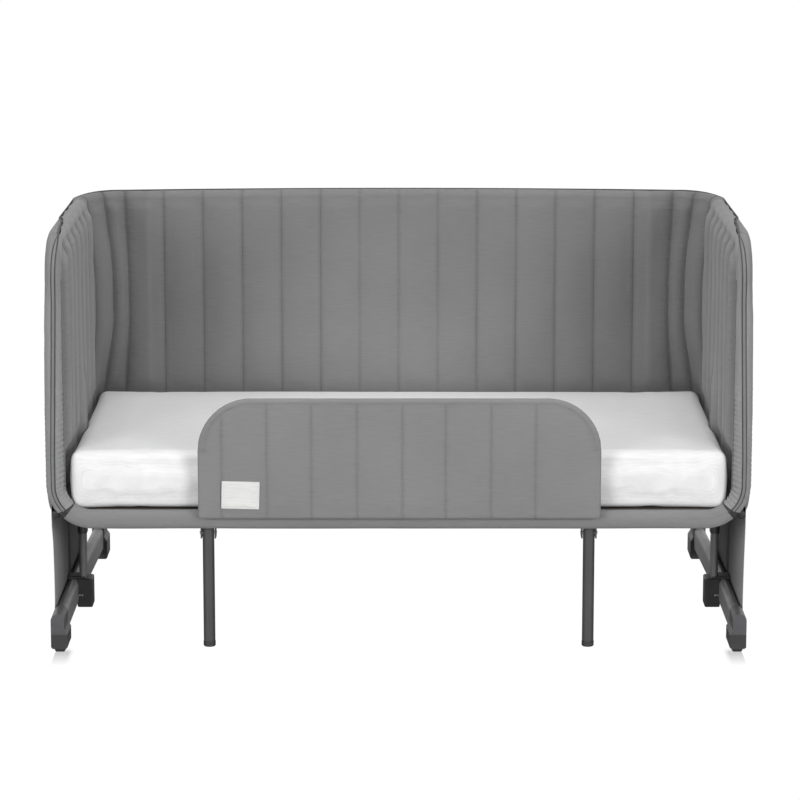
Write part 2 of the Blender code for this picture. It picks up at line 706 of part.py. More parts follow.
def build_foot(side_name, side):
    wheel_x = side * WHEEL_X
    foot = axis_empty(f"{side_name}_foot_axis", (side * POST_X, POST_Y, POST_TOP_Z))
    place(base_tube(f"{side_name}_base_tube", side, 0, *BASE_TUBE_Y), POWDER_COAT, foot)

    socket_y = (BASE_TUBE_Y[0] - GAP, BASE_TUBE_Y[1] + GAP)
    outline = cap_outline(side, FOOT_X, FRONT_CAP_Z)
    front = as_mesh(upright_plate(f"{side_name}_front_cap", outline, *FRONT_CAP_Y))
    soften(front, 0.0025)
    socket = base_tube(f"{side_name}_front_socket", side, GAP, *socket_y)
    well_half, well_r = WHEEL_WIDTH / 2 + 0.0008, WHEEL_R + 0.002
    well_start = (wheel_x - well_half, WHEEL_Y, WHEEL_R)
    well = rod(f"{side_name}_wheel_well", well_start, "x", 2 * well_half, well_r, 40)
    mouth = box(
        f"{side_name}_well_mouth",
        (wheel_x - well_half, WHEEL_Y - well_r, 0),
        (wheel_x + well_half, WHEEL_Y + well_r, WHEEL_R),
    )
    axle_hole = rod(
        f"{side_name}_axle_hole",
        (wheel_x - AXLE_HALF - GAP, WHEEL_Y, WHEEL_R),
        "x",
        2 * (AXLE_HALF + GAP),
        AXLE_R + GAP,
        20,
    )
    for cutter in (socket, well, mouth, axle_hole):
        combine(front, cutter)
    place(front, DARK_PLASTIC, foot)
    axle = rod(f"{side_name}_axle", (wheel_x - AXLE_HALF, WHEEL_Y, WHEEL_R), "x", 2 * AXLE_HALF, AXLE_R, 20)
    place(axle, STEEL, foot)

    outline = cap_outline(side, FOOT_X - FOOT_TOE_IN, 0)
    rear = as_mesh(upright_plate(f"{side_name}_rear_cap", outline, *REAR_CAP_Y))
    soften(rear, 0.0015)
    socket = base_tube(f"{side_name}_rear_socket", side, GAP, *socket_y)
    place(combine(rear, socket), DARK_PLASTIC, foot)

    build_wheel(side_name, wheel_x)
    build_bracket(side_name, side, foot)
    post_hole = stadium((side * POST_X, POST_Y), [s - 2 * TUBE_WALL for s in POST_SIZE])
    outline = stadium((side * POST_X, POST_Y), POST_SIZE)
    post = level_plate(f"{side_name}_post", outline, POST_BOTTOM_Z + GAP, POST_TOP_Z, post_hole)
    place(post, POWDER_COAT, foot)
    build_skirt(side_name, side, foot)


def build_wheel(side_name, x):
    centre = axis_empty(f"{side_name}_wheel_axis", (x, WHEEL_Y, WHEEL_R))
    half, bore, edge = WHEEL_WIDTH / 2, AXLE_R + GAP, 0.002
    profile = [
        (bore, -half),
        (WHEEL_R - edge, -half),
        (WHEEL_R, -half + edge),
        (WHEEL_R, half - edge),
        (WHEEL_R - edge, half),
        (bore, half),
        (bore, -half),
    ]
    wheel = turned(f"{side_name}_wheel", profile, 40)
    wheel.location = (x, WHEEL_Y, WHEEL_R)
    wheel.rotation_euler = (0, math.pi / 2, 0)
    bpy.context.view_layer.update()
    place(wheel, WHEEL_PLASTIC, centre)


def side_box(name, side, x_span, y_span, z_span):
    """A box whose X span is given for the right-hand side."""
    low_x, high_x = sorted(side * value for value in x_span)
    return box(name, (low_x, y_span[0], z_span[0]), (high_x, y_span[1], z_span[1]))


def build_bracket(side_name, side, foot):
    """The post's socket beside the base tube, with a strap over the tube and two screws in its front."""
    front_y = POST_Y - SOCKET_HALF_Y
    bracket = side_box(
        f"{side_name}_bracket", side, SOCKET_X, (front_y, POST_Y + SOCKET_HALF_Y), SOCKET_Z
    )
    soften(bracket, 0.003, 3)
    strap_y = (POST_Y - STRAP_HALF_Y, POST_Y + STRAP_HALF_Y)
    strap = soften(side_box(f"{side_name}_strap", side, STRAP_X, strap_y, STRAP_Z), 0.003, 3)
    combine(bracket, strap, "UNION")
    post = stadium((side * POST_X, POST_Y), [s + 2 * GAP for s in POST_SIZE])
    combine(bracket, base_tube(f"{side_name}_bracket_tunnel", side, GAP, *BASE_TUBE_Y))
    combine(
        bracket, as_mesh(level_plate(f"{side_name}_post_socket", post, POST_BOTTOM_Z, SOCKET_Z[1] + 0.01))
    )
    head_r, shank_r = SCREW_R
    head, length = SCREW_LENGTH
    over = 0.001
    for number, screw_x in enumerate(SCREW_X, 1):
        start = (side * screw_x, front_y - over, SCREW_Z)
        depth = over + length - head
        hole = rod(f"{side_name}_screw_hole_{number}", start, "y", depth, shank_r + GAP, 16)
        combine(bracket, hole)
        profile = [(0, 0), (head_r, 0), (head_r, head), (shank_r, head), (shank_r, length), (0, length)]
        screw = turned(f"{side_name}_bracket_screw_{number}", profile, 16)
        screw.location = (side * screw_x, front_y - head - GAP, SCREW_Z)
        screw.rotation_euler = (-math.pi / 2, 0, 0)
        bpy.context.view_layer.update()
        place(screw, STEEL, foot)
    place(bracket, DARK_PLASTIC, foot)


def build_skirt(side_name, side, foot):
    """A thin panel that hangs outside the base tube and slides up into the wall's pocket."""
    place(side_box(f"{side_name}_skirt", side, SKIRT_X, SKIRT_Y, SKIRT_Z), GREY_FABRIC, foot)


def build_sleeve(side_name, side):
    """The outer leg in the wall that the post slides in, with its collar and height button."""
    centre = (side * POST_X, POST_Y)
    bore = stadium(centre, [s + 2 * GAP for s in POST_SIZE])
    sleeve = level_plate(f"{side_name}_leg_sleeve", stadium(centre, SLEEVE_SIZE), *SLEEVE_Z, bore)
    place(sleeve, POWDER_COAT)
    half_x, half_y = COLLAR_SIZE[0] / 2, COLLAR_SIZE[1] / 2
    x = side * COLLAR_X
    outline = rounded_rectangle((x - half_x, POST_Y - half_y), (x + half_x, POST_Y + half_y), (0.005,) * 4)
    hole = stadium(centre, [s + 2 * GAP for s in SLEEVE_SIZE])
    collar = as_mesh(level_plate(f"{side_name}_sleeve_collar", outline, *COLLAR_Z, hole))
    face = COLLAR_X - half_x
    pocket_r, pocket_depth, proud, length = BUTTON_R + GAP, 0.0070, 0.0035, 0.0065
    pocket_x = {1: face - 0.001, -1: -face - pocket_depth}[side]
    pocket = rod(
        f"{side_name}_button_pocket", (pocket_x, POST_Y, BUTTON_Z), "x", pocket_depth + 0.001, pocket_r, 24
    )
    place(combine(collar, pocket), DARK_PLASTIC)
    axis = axis_empty(f"{side_name}_height_button_axis", (side * (face - proud), POST_Y, BUTTON_Z))
    start_x = {1: face - proud, -1: -face + proud - length}[side]
    button = rod(f"{side_name}_height_button", (start_x, POST_Y, BUTTON_Z), "x", length, BUTTON_R, 24)
    bpy.context.view_layer.update()
    place(button, DARK_PLASTIC, axis)


build_frame()
build_back_fabric()
build_rail_cover()
build_mattress_and_guard()
for the_name, the_side in SIDES:
    build_side_fabric(the_name, the_side)
    build_centre_leg(the_name, the_side)
    build_sleeve(the_name, the_side)
    build_foot(the_name, the_side)

for the_object in bpy.data.objects:
    if the_object.parent is None:
        the_object.location.y -= MIDDLE_Y
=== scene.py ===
"""The toddler bed's looks: lining, covers, guard, mattress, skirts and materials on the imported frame."""

import math

import bmesh
import bpy
import numpy as np
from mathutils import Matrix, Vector, noise


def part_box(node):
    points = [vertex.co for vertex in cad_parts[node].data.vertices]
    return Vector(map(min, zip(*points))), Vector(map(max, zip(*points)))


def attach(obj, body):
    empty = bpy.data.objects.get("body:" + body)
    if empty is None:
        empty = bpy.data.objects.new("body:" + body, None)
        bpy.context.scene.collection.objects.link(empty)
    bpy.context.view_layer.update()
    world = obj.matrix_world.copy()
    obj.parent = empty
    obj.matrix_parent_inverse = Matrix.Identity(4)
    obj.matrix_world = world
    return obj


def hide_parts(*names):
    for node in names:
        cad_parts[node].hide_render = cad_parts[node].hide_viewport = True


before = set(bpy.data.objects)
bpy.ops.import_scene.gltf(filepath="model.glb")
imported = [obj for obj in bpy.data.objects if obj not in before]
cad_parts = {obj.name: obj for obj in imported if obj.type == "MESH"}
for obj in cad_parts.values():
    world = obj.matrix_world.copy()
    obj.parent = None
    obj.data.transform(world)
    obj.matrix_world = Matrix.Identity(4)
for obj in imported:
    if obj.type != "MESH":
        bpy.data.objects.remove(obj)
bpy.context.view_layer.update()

SIDES = (("left", -1), ("right", 1))
WALLS = ("left", "back", "right")

# ---------- measures from the frame ----------

rail_low, rail_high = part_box("front_rail")
rail_cover_low, rail_cover_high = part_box("front_rail_cover")
frame_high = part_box("right_side_frame")[1]
trim_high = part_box("right_front_trim")[1]
cover_low, cover_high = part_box("right_outer_cover")
top_low, top_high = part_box("back_top_rail")
mattress_low, mattress_high = (Vector(corner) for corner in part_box("mattress"))
guard_low, guard_high = (Vector(corner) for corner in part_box("front_guard"))
tube_r = (rail_high[1] - rail_low[1]) / 2
FRAME_X = frame_high[0] - tube_r  # centre of the side frames' tubes
FRONT_Y = (rail_low[1] + rail_high[1]) / 2
RAIL_Z = (rail_low[2] + rail_high[2]) / 2
BACK_Y = (top_low[1] + top_high[1]) / 2
TOP_Z = top_low[2] + tube_r
CROWN = top_high[2] - tube_r - TOP_Z
FRONT_ROLL = trim_high[0] - FRAME_X  # radius of the padded edge around the upright
POST_Y = sum(corner[1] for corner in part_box("right_leg_sleeve")) / 2
SLEEVE_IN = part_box("right_leg_sleeve")[0][0]  # inner face of the leg sleeve, which the lining passes over
SLEEVE_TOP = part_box("right_leg_sleeve")[1][2]
TOP_ROLL = cover_high[2] - TOP_Z  # and over the top rail
COVER_FOOT_Z = cover_low[2]

# ---------- other sizes, in metres ----------

FRONT_BEND = 0.0635
TOP_BEND = 0.065
BACK_BEND = 0.076
BAND_START = 45.5  # degrees round the front bend where the side walls' edge bands begin
BAND_CUT = 4.0  # degrees that the band's end leans over its radius, opening a notch at the outside
RAIL_COVER_END = 38.7
RAIL_CUT = -1.8
RAIL_SAG = 0.0020  # how far the rail's padded sleeve hangs below the tube's centre
RAIL_COVER_R = (rail_cover_high[1] - rail_cover_low[1]) / 2
RAIL_STRAIGHT = FRAME_X - FRONT_BEND  # half the length of the rail's straight
CHANNEL = 0.0777  # width of the lining's channels on the back wall
SIDE_LINES = (0.043, 0.121, 0.199, 0.277, 0.355, 0.433)  # seams of the side walls, from the front
SIDE_SEAM = 58.0  # degrees outboard of the crest where lining and cover meet along the side rails
BACK_SEAM = 14.0  # the same behind the back rail
# near the front: how far behind FRONT_Y, and degrees outboard there
SEAM_PATH = ((0.065, -30.0), (0.130, -12.0), (0.200, 2.0), (0.290, SIDE_SEAM))
UPRIGHT_SEAM = (-1.0, -23.0)  # degrees at the foot and at the top of the uprights
ZIP_WIDTH = 21.0  # degrees between the zip's two edges
PUCKER_LENGTH = 0.0095  # from one pucker of the edge bands to the next
CORNER_REACH = 0.110  # how far the lining's corner starts before the walls would meet
CORNER_SAVED = 0.0344  # how much shorter the rounded corner is than the two walls that it replaces
CORNER_LINES = (0.24, 0.55, 0.76)
LINING_X = 0.606
LINING_Y = BACK_Y - 0.0215
LINING_FOOT_Z = 0.268
LINING_PUFF = 0.0062
LINING_HEM = 0.006  # how far its front edge reaches forward round the edge band
LINING_STEP, FRONT_STEP = 0.0050, 0.0018  # between columns, and near the front edge
UP_ROWS, OVER_ROWS = 70, 12  # rows up the wall and over the rim
SHEET_LIFT = 0.0006  # of a sheet over the padded roll
LINING_THICK = 0.0022
COVER_THICK = 0.0016
NO_SEAM = 0.05  # a distance to the nearest seam that leaves the cloth plain
UPRIGHT_STEPS, BEND_STATIONS = 160, 25  # stations along the rim
MATTRESS_SPREAD = ((0.0082, 0.0, 0.0034), (0.0082, 0.0045, 0.0040))  # past the frame's mattress, low and high
MATTRESS_EDGE = 0.010
MATTRESS_VOXEL = 0.009
MATTRESS_SWELL = 0.006  # the most that the simulation moves a point
GUARD_TOP_R, GUARD_FOOT_R = 0.098, 0.012
TAG_SIZE, TAG_TILT, TAG_SHIFT = (0.069, 0.051), 1.5, (0.0035, -0.0030)
GUARD_LINES = (-0.3215, -0.2395, -0.1585, -0.0755, 0.0070, 0.0855, 0.1680, 0.2490)


def smoothstep(low, high, value):
    t = np.clip((value - low) / (high - low), 0, 1)
    return t * t * (3 - 2 * t)


def fade(low, high, value):
    """1 up to low, falling smoothly to 0 at high."""
    return 1 - smoothstep(low, high, value)


def ripple(x, y, seed):
    """Smooth noise between about -1 and 1 at each point of two arrays."""
    flat = zip(np.ravel(x), np.ravel(y))
    return np.array([noise.noise(Vector((a, b, seed))) for a, b in flat]).reshape(np.shape(x))


# ---------- meshes ----------


def link(obj, material, body, replaces=()):
    """Put a finished piece in the scene, in its material, on the body that it moves with."""
    if not obj.users_collection:
        bpy.context.scene.collection.objects.link(obj)
    obj.data.materials.append(material)
    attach(obj, body)
    if replaces:
        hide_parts(*replaces)


def both_sides(values):
    """Values along the right half of a sheet, repeated in mirror order for its left half."""
    return np.concatenate([values, values[-2::-1]])


def run_on(run):
    """A run measured to the middle of a sheet, carried on to its far end."""
    return np.concatenate([run, 2 * run[-1] - run[-2::-1]])


def both_walls(points):
    """A grid of points over the right half of a sheet, with its mirror image for the left half."""
    return np.concatenate([points, points[:, -2::-1] * np.array([-1, 1, 1])], axis=1)


def sheet_mesh(name, points, uv, seam=None, painted_light=None, ring=False):
    """A mesh from a grid of points, rows by columns, with UVs in metres.

    Each point may carry the distance to the nearest seam, which the material darkens as painted crease shade,
    and painted light and shade: how much paler or darker the cloth is there."""
    rows, columns = points.shape[:2]
    wrap = columns if ring else columns - 1
    faces = []
    for r in range(rows - 1):
        for c in range(wrap):
            this, after = r * columns + c, r * columns + (c + 1) % columns
            faces.append((this, after, after + columns, this + columns))
    mesh = bpy.data.meshes.new(name)
    mesh.from_pydata(points.reshape(-1, 3).tolist(), [], faces)
    layer = mesh.uv_layers.new(name="metres")
    index = np.empty(len(mesh.loops), int)
    mesh.loops.foreach_get("vertex_index", index)
    layer.data.foreach_set("uv", uv.reshape(-1, 2)[index].ravel())
    for key, values in (("seam", seam), ("painted_light", painted_light)):
        if values is not None:
            attribute = mesh.attributes.new(key, "FLOAT", "POINT")
            attribute.data.foreach_set("value", np.broadcast_to(values, (rows, columns)).ravel())
    mesh.shade_smooth()
    return bpy.data.objects.new(name, mesh)


def thicken(obj, thickness, offset=-1.0):
    wall = obj.modifiers.new("cloth", "SOLIDIFY")
    wall.thickness = thickness
    wall.offset = offset
    wall.use_even_offset = True


def rounded_tube(name, route, sizes, sides=12):
    """A round cord along a route, with a radius for each point."""
    curve = bpy.data.curves.new(name, "CURVE")
    curve.dimensions = "3D"
    curve.bevel_depth = 1.0
    curve.bevel_resolution = max(1, (sides - 4) // 2)
    curve.use_fill_caps = True
    spline = curve.splines.new("POLY")
    spline.points.add(len(route) - 1)
    for point, place, size in zip(spline.points, route, sizes):
        point.co = (*place, 1)
        point.radius = size
    helper = bpy.data.objects.new(name + "_route", curve)
    bpy.context.scene.collection.objects.link(helper)
    bpy.context.view_layer.update()
    graph = bpy.context.evaluated_depsgraph_get()
    mesh = bpy.data.meshes.new_from_object(helper.evaluated_get(graph))
    bpy.data.objects.remove(helper, do_unlink=True)
    work = bmesh.new()
    work.from_mesh(mesh)
    bmesh.ops.remove_doubles(work, verts=work.verts, dist=0.00002)
    bmesh.ops.recalc_face_normals(work, faces=work.faces)
    work.to_mesh(mesh)
    work.free()
    mesh.name = name
    mesh.shade_smooth()
    mesh.set_sharp_from_angle(angle=math.radians(50))
    return bpy.data.objects.new(name, mesh)


# ---------- materials ----------

STITCH_LENGTH = 0.0042
WAVES_PER_SCALE = 0.314  # a wave texture of scale 1 has one band in 0.314 m


class Nodes:
    """A short way to write a node tree."""

    def __init__(self, name):
        self.material = bpy.data.materials.new(name)
        self.material.use_nodes = True
        self.tree = self.material.node_tree
        self.shader = self.tree.nodes["Principled BSDF"]

    def add(self, kind, **settings):
        node = self.tree.nodes.new(kind)
        for key, value in settings.items():
            if hasattr(node, key):
                setattr(node, key, value)
            else:
                node.inputs[key].default_value = value
        return node

    def join(self, source, target, key):
        output = source if isinstance(source, bpy.types.NodeSocket) else source.outputs[0]
        self.tree.links.new(output, target.inputs[key])
        return target

    def math(self, operation, first, second=None):
        node = self.add("ShaderNodeMath", operation=operation)
        for index, value in enumerate((first, second)):
            if value is None:
                continue
            if isinstance(value, (int, float)):
                node.inputs[index].default_value = value
            else:
                self.join(value, node, index)
        return node.outputs[0]

    def times(self, first, second):
        return self.math("MULTIPLY", first, second)

    def plus(self, first, second):
        return self.math("ADD", first, second)

    def place(self, uv=False):
        node = self.add("ShaderNodeUVMap", uv_map="metres") if uv else self.add("ShaderNodeTexCoord")
        return node.outputs["UV" if uv else "Object"]

    def cloud(self, place, scale, detail=2.0, rough=0.5):
        node = self.add("ShaderNodeTexNoise", Scale=scale, Detail=detail, Roughness=rough)
        self.join(place, node, "Vector")
        return node.outputs["Fac"]

    def stretch(self, place, scale):
        node = self.add("ShaderNodeMapping")
        node.inputs["Scale"].default_value = scale
        self.join(place, node, "Vector")
        return node.outputs[0]

    def ramp(self, value, low, high, start=0.0, end=1.0):
        node = self.add("ShaderNodeMapRange", clamp=True)
        self.join(value, node, "Value")
        for key, number in (("From Min", start), ("From Max", end), ("To Min", low), ("To Max", high)):
            node.inputs[key].default_value = number
        return node.outputs[0]

    def axis(self, place, axis):
        split = self.add("ShaderNodeSeparateXYZ")
        self.join(place, split, 0)
        return split.outputs[axis]

    def finish(self, level, rgb, **sockets):
        """Give the shader the colour rgb times a level, and to each other socket an output or a constant."""
        tint = self.add("ShaderNodeVectorMath", operation="SCALE")
        tint.inputs[0].default_value = rgb
        self.join(level, tint, "Scale")
        self.join(tint, self.shader, "Base Color")
        for name, value in sockets.items():
            key = name.replace("_", " ")
            if isinstance(value, (int, float)):
                self.shader.inputs[key].default_value = value
            else:
                self.join(value, self.shader, key)
        return self.material

    def bump(self, height, distance, strength=1.0, under=None):
        node = self.add("ShaderNodeBump", Strength=strength, Distance=distance)
        self.join(height, node, "Height")
        if under is not None:
            self.join(under, node, "Normal")
        return node.outputs["Normal"]


def stitch(n, place, level, normal, deep):
    """Stitched seams: painted crease shade, dark along each seam and fading beside it, with thread showing
    and puckers beside it. Also the painted light and shade that each point of the sheet carries.
    """
    seam = n.add("ShaderNodeAttribute", attribute_name="seam").outputs["Fac"]
    dash = n.math("SINE", n.times(n.axis(place, "Y"), 2 * math.pi / STITCH_LENGTH))
    line = n.ramp(seam, 1.0, 0.0, 0.0003, 0.0022)
    thread_on = n.times(line, n.ramp(dash, 0.35, 1.0, -0.6, 0.2))
    # painted shade: each seam's crease darkened by up to a third along a thin line
    level = n.times(level, n.ramp(line, 1.0, 1 - 0.34 * deep))
    # painted light and shade that each point carries: paler side walls, darker corners
    painted_light = n.add("ShaderNodeAttribute", attribute_name="painted_light").outputs["Fac"]
    level = n.times(level, n.plus(painted_light, 1.0))
    # painted shade: a soft darkening out to 8.5 mm beside each seam, where the crease is in shadow
    soft = n.ramp(seam, 0.0, 1.0, 0.0, 0.0085)
    level = n.times(level, n.ramp(n.math("POWER", soft, 0.6), 1 - 0.24 * deep, 1.0))
    level = n.plus(level, n.times(thread_on, 0.10))
    pucker = n.cloud(n.stretch(place, (40, 120, 40)), 1.0, 2.0)
    near = n.ramp(seam, 1.0, 0.0, 0.0, 0.016)
    normal = n.bump(n.times(near, pucker), 0.0030, 0.8, normal)
    return level, n.bump(n.ramp(seam, 0.0, 1.0, 0.0, 0.003), 0.0012, 0.9, normal)


def cloth_material(
    name, rgb, uv=True, seams=False, deep=1.0, thread=0.0008, sheen=0.15, mottle=0.06, painted_shade=None
):
    """Plain weave with slubs, soft colour variation, tiny creases and, where asked, stitched seams with
    painted shade in their creases.

    `deep` is how dark the painted crease shade at the seams is. The last argument paints shade: an axis along
    which the cloth gets darker, where it starts and ends, and the level there."""
    n = Nodes(name)
    place = n.place(uv)
    threads = []
    for axis in ("X", "Y"):
        wave = n.add("ShaderNodeTexWave", wave_type="BANDS", bands_direction=axis, wave_profile="SIN")
        wave.inputs["Scale"].default_value = WAVES_PER_SCALE / thread
        wave.inputs["Distortion"].default_value = 0.6
        wave.inputs["Detail"].default_value = 1.0
        wave.inputs["Detail Scale"].default_value = 0.4
        n.join(place, wave, "Vector")
        threads.append(wave.outputs["Fac"])
    weave = n.times(threads[0], threads[1])
    slubs = n.cloud(n.stretch(place, (30, 420, 30)), 1.0, 3.0)
    broad = n.cloud(place, 5.0, 3.0)
    level = n.plus(n.ramp(broad, 1 - mottle, 1 + mottle, 0.25, 0.75), n.ramp(weave, -0.05, 0.05))
    level = n.plus(level, n.ramp(slubs, -0.05, 0.05, 0.3, 0.7))
    creases = n.cloud(n.stretch(place, (26, 9, 26)), 1.0, 4.0, 0.55)
    normal = n.bump(creases, 0.0022, 0.55)
    normal = n.bump(n.plus(weave, n.times(slubs, 0.6)), 0.00025, 0.5, normal)
    if seams:
        level, normal = stitch(n, place, level, normal, deep)
    # painted shade: the cloth darker along the given axis
    if painted_shade:
        axis, start, end, least = painted_shade
        level = n.times(level, n.ramp(n.axis(n.place(), axis), 1.0, least, start, end))
    gloss = {"Roughness": n.ramp(slubs, 0.84, 0.98, 0.3, 0.7), "Specular_IOR_Level": 0.25}
    return n.finish(level, rgb, Normal=normal, Sheen_Weight=sheen, Sheen_Roughness=0.6, **gloss)


def coated_metal(name, rgb):
    """Powder coat: fine orange peel, a little uneven gloss, slightly paler where it wears."""
    n = Nodes(name)
    place = n.place()
    peel = n.cloud(place, 900.0, 2.0)
    patch = n.cloud(place, 14.0, 3.0)
    edge = n.add("ShaderNodeNewGeometry").outputs["Pointiness"]
    level = n.plus(n.ramp(patch, 0.93, 1.07, 0.3, 0.7), n.ramp(edge, 0.0, 0.25, 0.52, 0.60))
    rough, normal = n.ramp(patch, 0.38, 0.52, 0.3, 0.7), n.bump(peel, 0.00012, 0.5)
    return n.finish(level, rgb, Roughness=rough, Normal=normal, Metallic=0.15, Specular_IOR_Level=0.45)


def moulded_plastic(name, rgb, rough=0.5, above=None):
    """Spark-eroded plastic: fine grain, flow marks, shinier edges, and paler above a height if asked."""
    n = Nodes(name)
    place = n.place()
    grain = n.cloud(place, 1400.0, 3.0, 0.6)
    flow = n.cloud(n.stretch(place, (20, 20, 60)), 1.0, 3.0)
    edge = n.add("ShaderNodeNewGeometry").outputs["Pointiness"]
    level = n.plus(n.ramp(flow, 0.9, 1.1, 0.3, 0.7), n.ramp(edge, 0.0, 0.35, 0.52, 0.62))
    if above:
        height, factor = above
        level = n.times(level, n.ramp(n.axis(place, "Z"), 1.0, factor, height, height + 0.002))
    rough, normal = n.ramp(edge, rough, rough - 0.15, 0.50, 0.62), n.bump(grain, 0.00015, 0.6)
    return n.finish(level, rgb, Roughness=rough, Normal=normal, Specular_IOR_Level=0.4)


def bright_zinc(name):
    """Zinc plate, brushed along one way."""
    n = Nodes(name)
    place = n.place()
    brush = n.cloud(n.stretch(place, (200, 2500, 200)), 1.0, 2.0)
    level, rough = n.ramp(brush, 0.85, 1.1, 0.3, 0.7), n.ramp(brush, 0.18, 0.36, 0.3, 0.7)
    return n.finish(level, (0.72, 0.72, 0.71), Roughness=rough, Metallic=1.0)


def board_wood_dark_as_shade(name):
    """Base board kept almost black as painted shade, so the gap under the mattress looks dark: long grain
    with darker veins.
    """
    n = Nodes(name)
    place = n.place()
    grain = n.cloud(n.stretch(place, (3, 90, 90)), 1.0, 5.0, 0.6)
    veins = n.cloud(n.stretch(place, (8, 300, 300)), 1.0, 2.0)
    level = n.plus(n.ramp(grain, 0.7, 1.15, 0.3, 0.7), n.ramp(veins, -0.1, 0.1, 0.3, 0.7))
    # painted shade: a near-black colour for the shade in the gap above the front rail
    return n.finish(level, (0.060, 0.048, 0.036), Roughness=0.6, Normal=n.bump(grain, 0.0004, 0.4))


def lit_grey(level):
    """The fabric's colour, made paler or darker for each piece: lit and shaded copies of one cloth, whose
    levels paint light and shade, the edge bands and skirts paler most of all.
    """
    return (0.205 * level, 0.205 * level, 0.206 * level)


# painted shade: the lining darker towards the top of its walls
LINING_CLOTH = cloth_material("lining_cloth", lit_grey(1.05), seams=True, painted_shade=("Z", 0.45, 0.74, 0.91))
COVER_CLOTH = cloth_material("cover_cloth", lit_grey(1), seams=True)
# painted shade: the edge bands darker over their top
BAND_CLOTH = cloth_material("band_cloth", lit_grey(1.32), painted_shade=("Z", 0.640, 0.735, 0.80))
RAIL_CLOTH = cloth_material("rail_cloth", lit_grey(1.08))
GUARD_CLOTH = cloth_material("guard_cloth", lit_grey(1.11), seams=True, deep=0.4)
# painted light and shade: the skirts pale at their front edge, darker towards the back under the bed
SKIRT_CLOTH = cloth_material(
    "skirt_cloth", lit_grey(1.72), seams=True, painted_shade=("Y", FRONT_Y + 0.035, FRONT_Y + 0.26, 0.13)
)
PIPING_CLOTH = cloth_material("piping_cloth", (0.055, 0.055, 0.057), uv=False, mottle=0.05)
ZIP_TAPE = cloth_material("zip_tape", (0.20, 0.20, 0.202), uv=False, thread=0.0006)
MATTRESS_CLOTH = cloth_material(
    "mattress_cloth", (0.80, 0.80, 0.80), uv=False, thread=0.0012, sheen=0.1, mottle=0.012
)
TAG_CLOTH = cloth_material(
    "tag_cloth", (0.76, 0.76, 0.75), seams=True, deep=0.15, thread=0.0004, mottle=0.02
)
POWDER_COAT = coated_metal("powder_coat", (0.060, 0.060, 0.062))
TUBE_COAT = coated_metal("tube_coat", (0.225, 0.225, 0.228))
POST_COAT = coated_metal("post_coat", (0.17, 0.17, 0.173))
DARK_PLASTIC = moulded_plastic("dark_plastic", (0.040, 0.040, 0.042))
CAP_PLASTIC = moulded_plastic("cap_plastic", (0.037, 0.037, 0.039), above=(0.037, 2.1))
COLLAR_PLASTIC = moulded_plastic("collar_plastic", (0.030, 0.030, 0.031))
WHEEL_PLASTIC = moulded_plastic("wheel_plastic", (0.055, 0.055, 0.056), 0.45)
ZINC = bright_zinc("bright_zinc")
PLYWOOD_DARK_AS_SHADE = board_wood_dark_as_shade("plywood_dark_as_shade")


# ---------- the walls ----------


def rim_top(y):
    """Height of the rim's centre over a side wall at each Y: level, then down the bend at the front."""
    over = np.clip(FRONT_Y + TOP_BEND - y, 0, TOP_BEND)
    return TOP_Z - TOP_BEND + np.sqrt(TOP_BEND**2 - over**2)


def rim_lean(y):
    """How far the rim faces forward at each Y: 0 along the top, 1 where it has become the upright."""
    return np.clip(FRONT_Y + TOP_BEND - y, 0, TOP_BEND) / TOP_BEND


def roll_radius(lean):
    return TOP_ROLL + (FRONT_ROLL - TOP_ROLL) * smoothstep(0.0, 0.9, lean)


def seam_distance(place, lines):
    return np.min(np.abs(np.asarray(place)[:, None] - np.asarray(lines)[None, :]), axis=1)


def puff_between(place, lines):
    """A cushion shape between neighbouring lines: 0 on each line, 1 midway."""
    lines = np.sort(lines)
    index = np.clip(np.searchsorted(lines, place, side="right") - 1, 0, len(lines) - 2)
    share = (place - lines[index]) / (lines[index + 1] - lines[index])
    return 1 - np.abs(2 * np.clip(share, 0, 1) - 1) ** 2.4


def corner_radius(z):
    """The lining bridges the corner between the walls, most at mid height."""
    height = (z - mattress_high.z) / (TOP_Z - mattress_high.z)
    low = 0.030 + 0.085 * smoothstep(-0.05, 0.42, height)
    return low - 0.045 * smoothstep(0.55, 1.05, height)


def corner_point(share, radius):
    """A point of the lining's corner, from side wall (0) to back wall (1), and its inward direction."""
    straight = CORNER_REACH - radius
    bend = math.pi / 2 * radius
    run = share * (2 * straight + bend)
    turn = np.clip((run - straight) / radius, 0, math.pi / 2)
    along_side = np.minimum(run, straight)
    along_back = np.maximum(run - straight - bend, 0)
    x = LINING_X - radius + radius * np.cos(turn) - along_back
    y = LINING_Y - CORNER_REACH + along_side + radius * np.sin(turn)
    return x, y, -np.cos(turn), -np.sin(turn)


def spread_between(lines, step):
    """Positions through every line, about a step apart, closer together near the lines."""
    found = [lines[0]]
    for low, high in zip(lines, lines[1:]):
        count = max(2, round((high - low) / step))
        share = np.arange(1, count + 1) / count
        share = 0.55 * share + 0.45 * (0.5 - 0.5 * np.cos(math.pi * share))
        found += list(low + (high - low) * share)
    return np.array(found)


def seam_at(y, z=TOP_Z):
    """Degrees outboard of the crest where lining and cover meet, along a side rail and down its upright."""
    ahead, turns = zip(*SEAM_PATH)
    level = np.interp(y - FRONT_Y, ahead, turns)
    low, high = UPRIGHT_SEAM
    upright = low + (high - low) * np.clip((z - 0.36) / 0.29, 0, 1)
    bend = np.clip((FRONT_Y + TOP_BEND - y) / TOP_BEND, 0, 1)
    arc_turn = level - 6.0 * np.sin(math.pi * bend) + (upright - level) * smoothstep(0.35, 1.0, bend)
    return np.where(bend > 0, arc_turn, level)


def seam_round_corner(share):
    """The same round the back corner, from the side (0) to the back (1)."""
    return SIDE_SEAM + (BACK_SEAM - SIDE_SEAM) * smoothstep(0.1, 0.9, share)


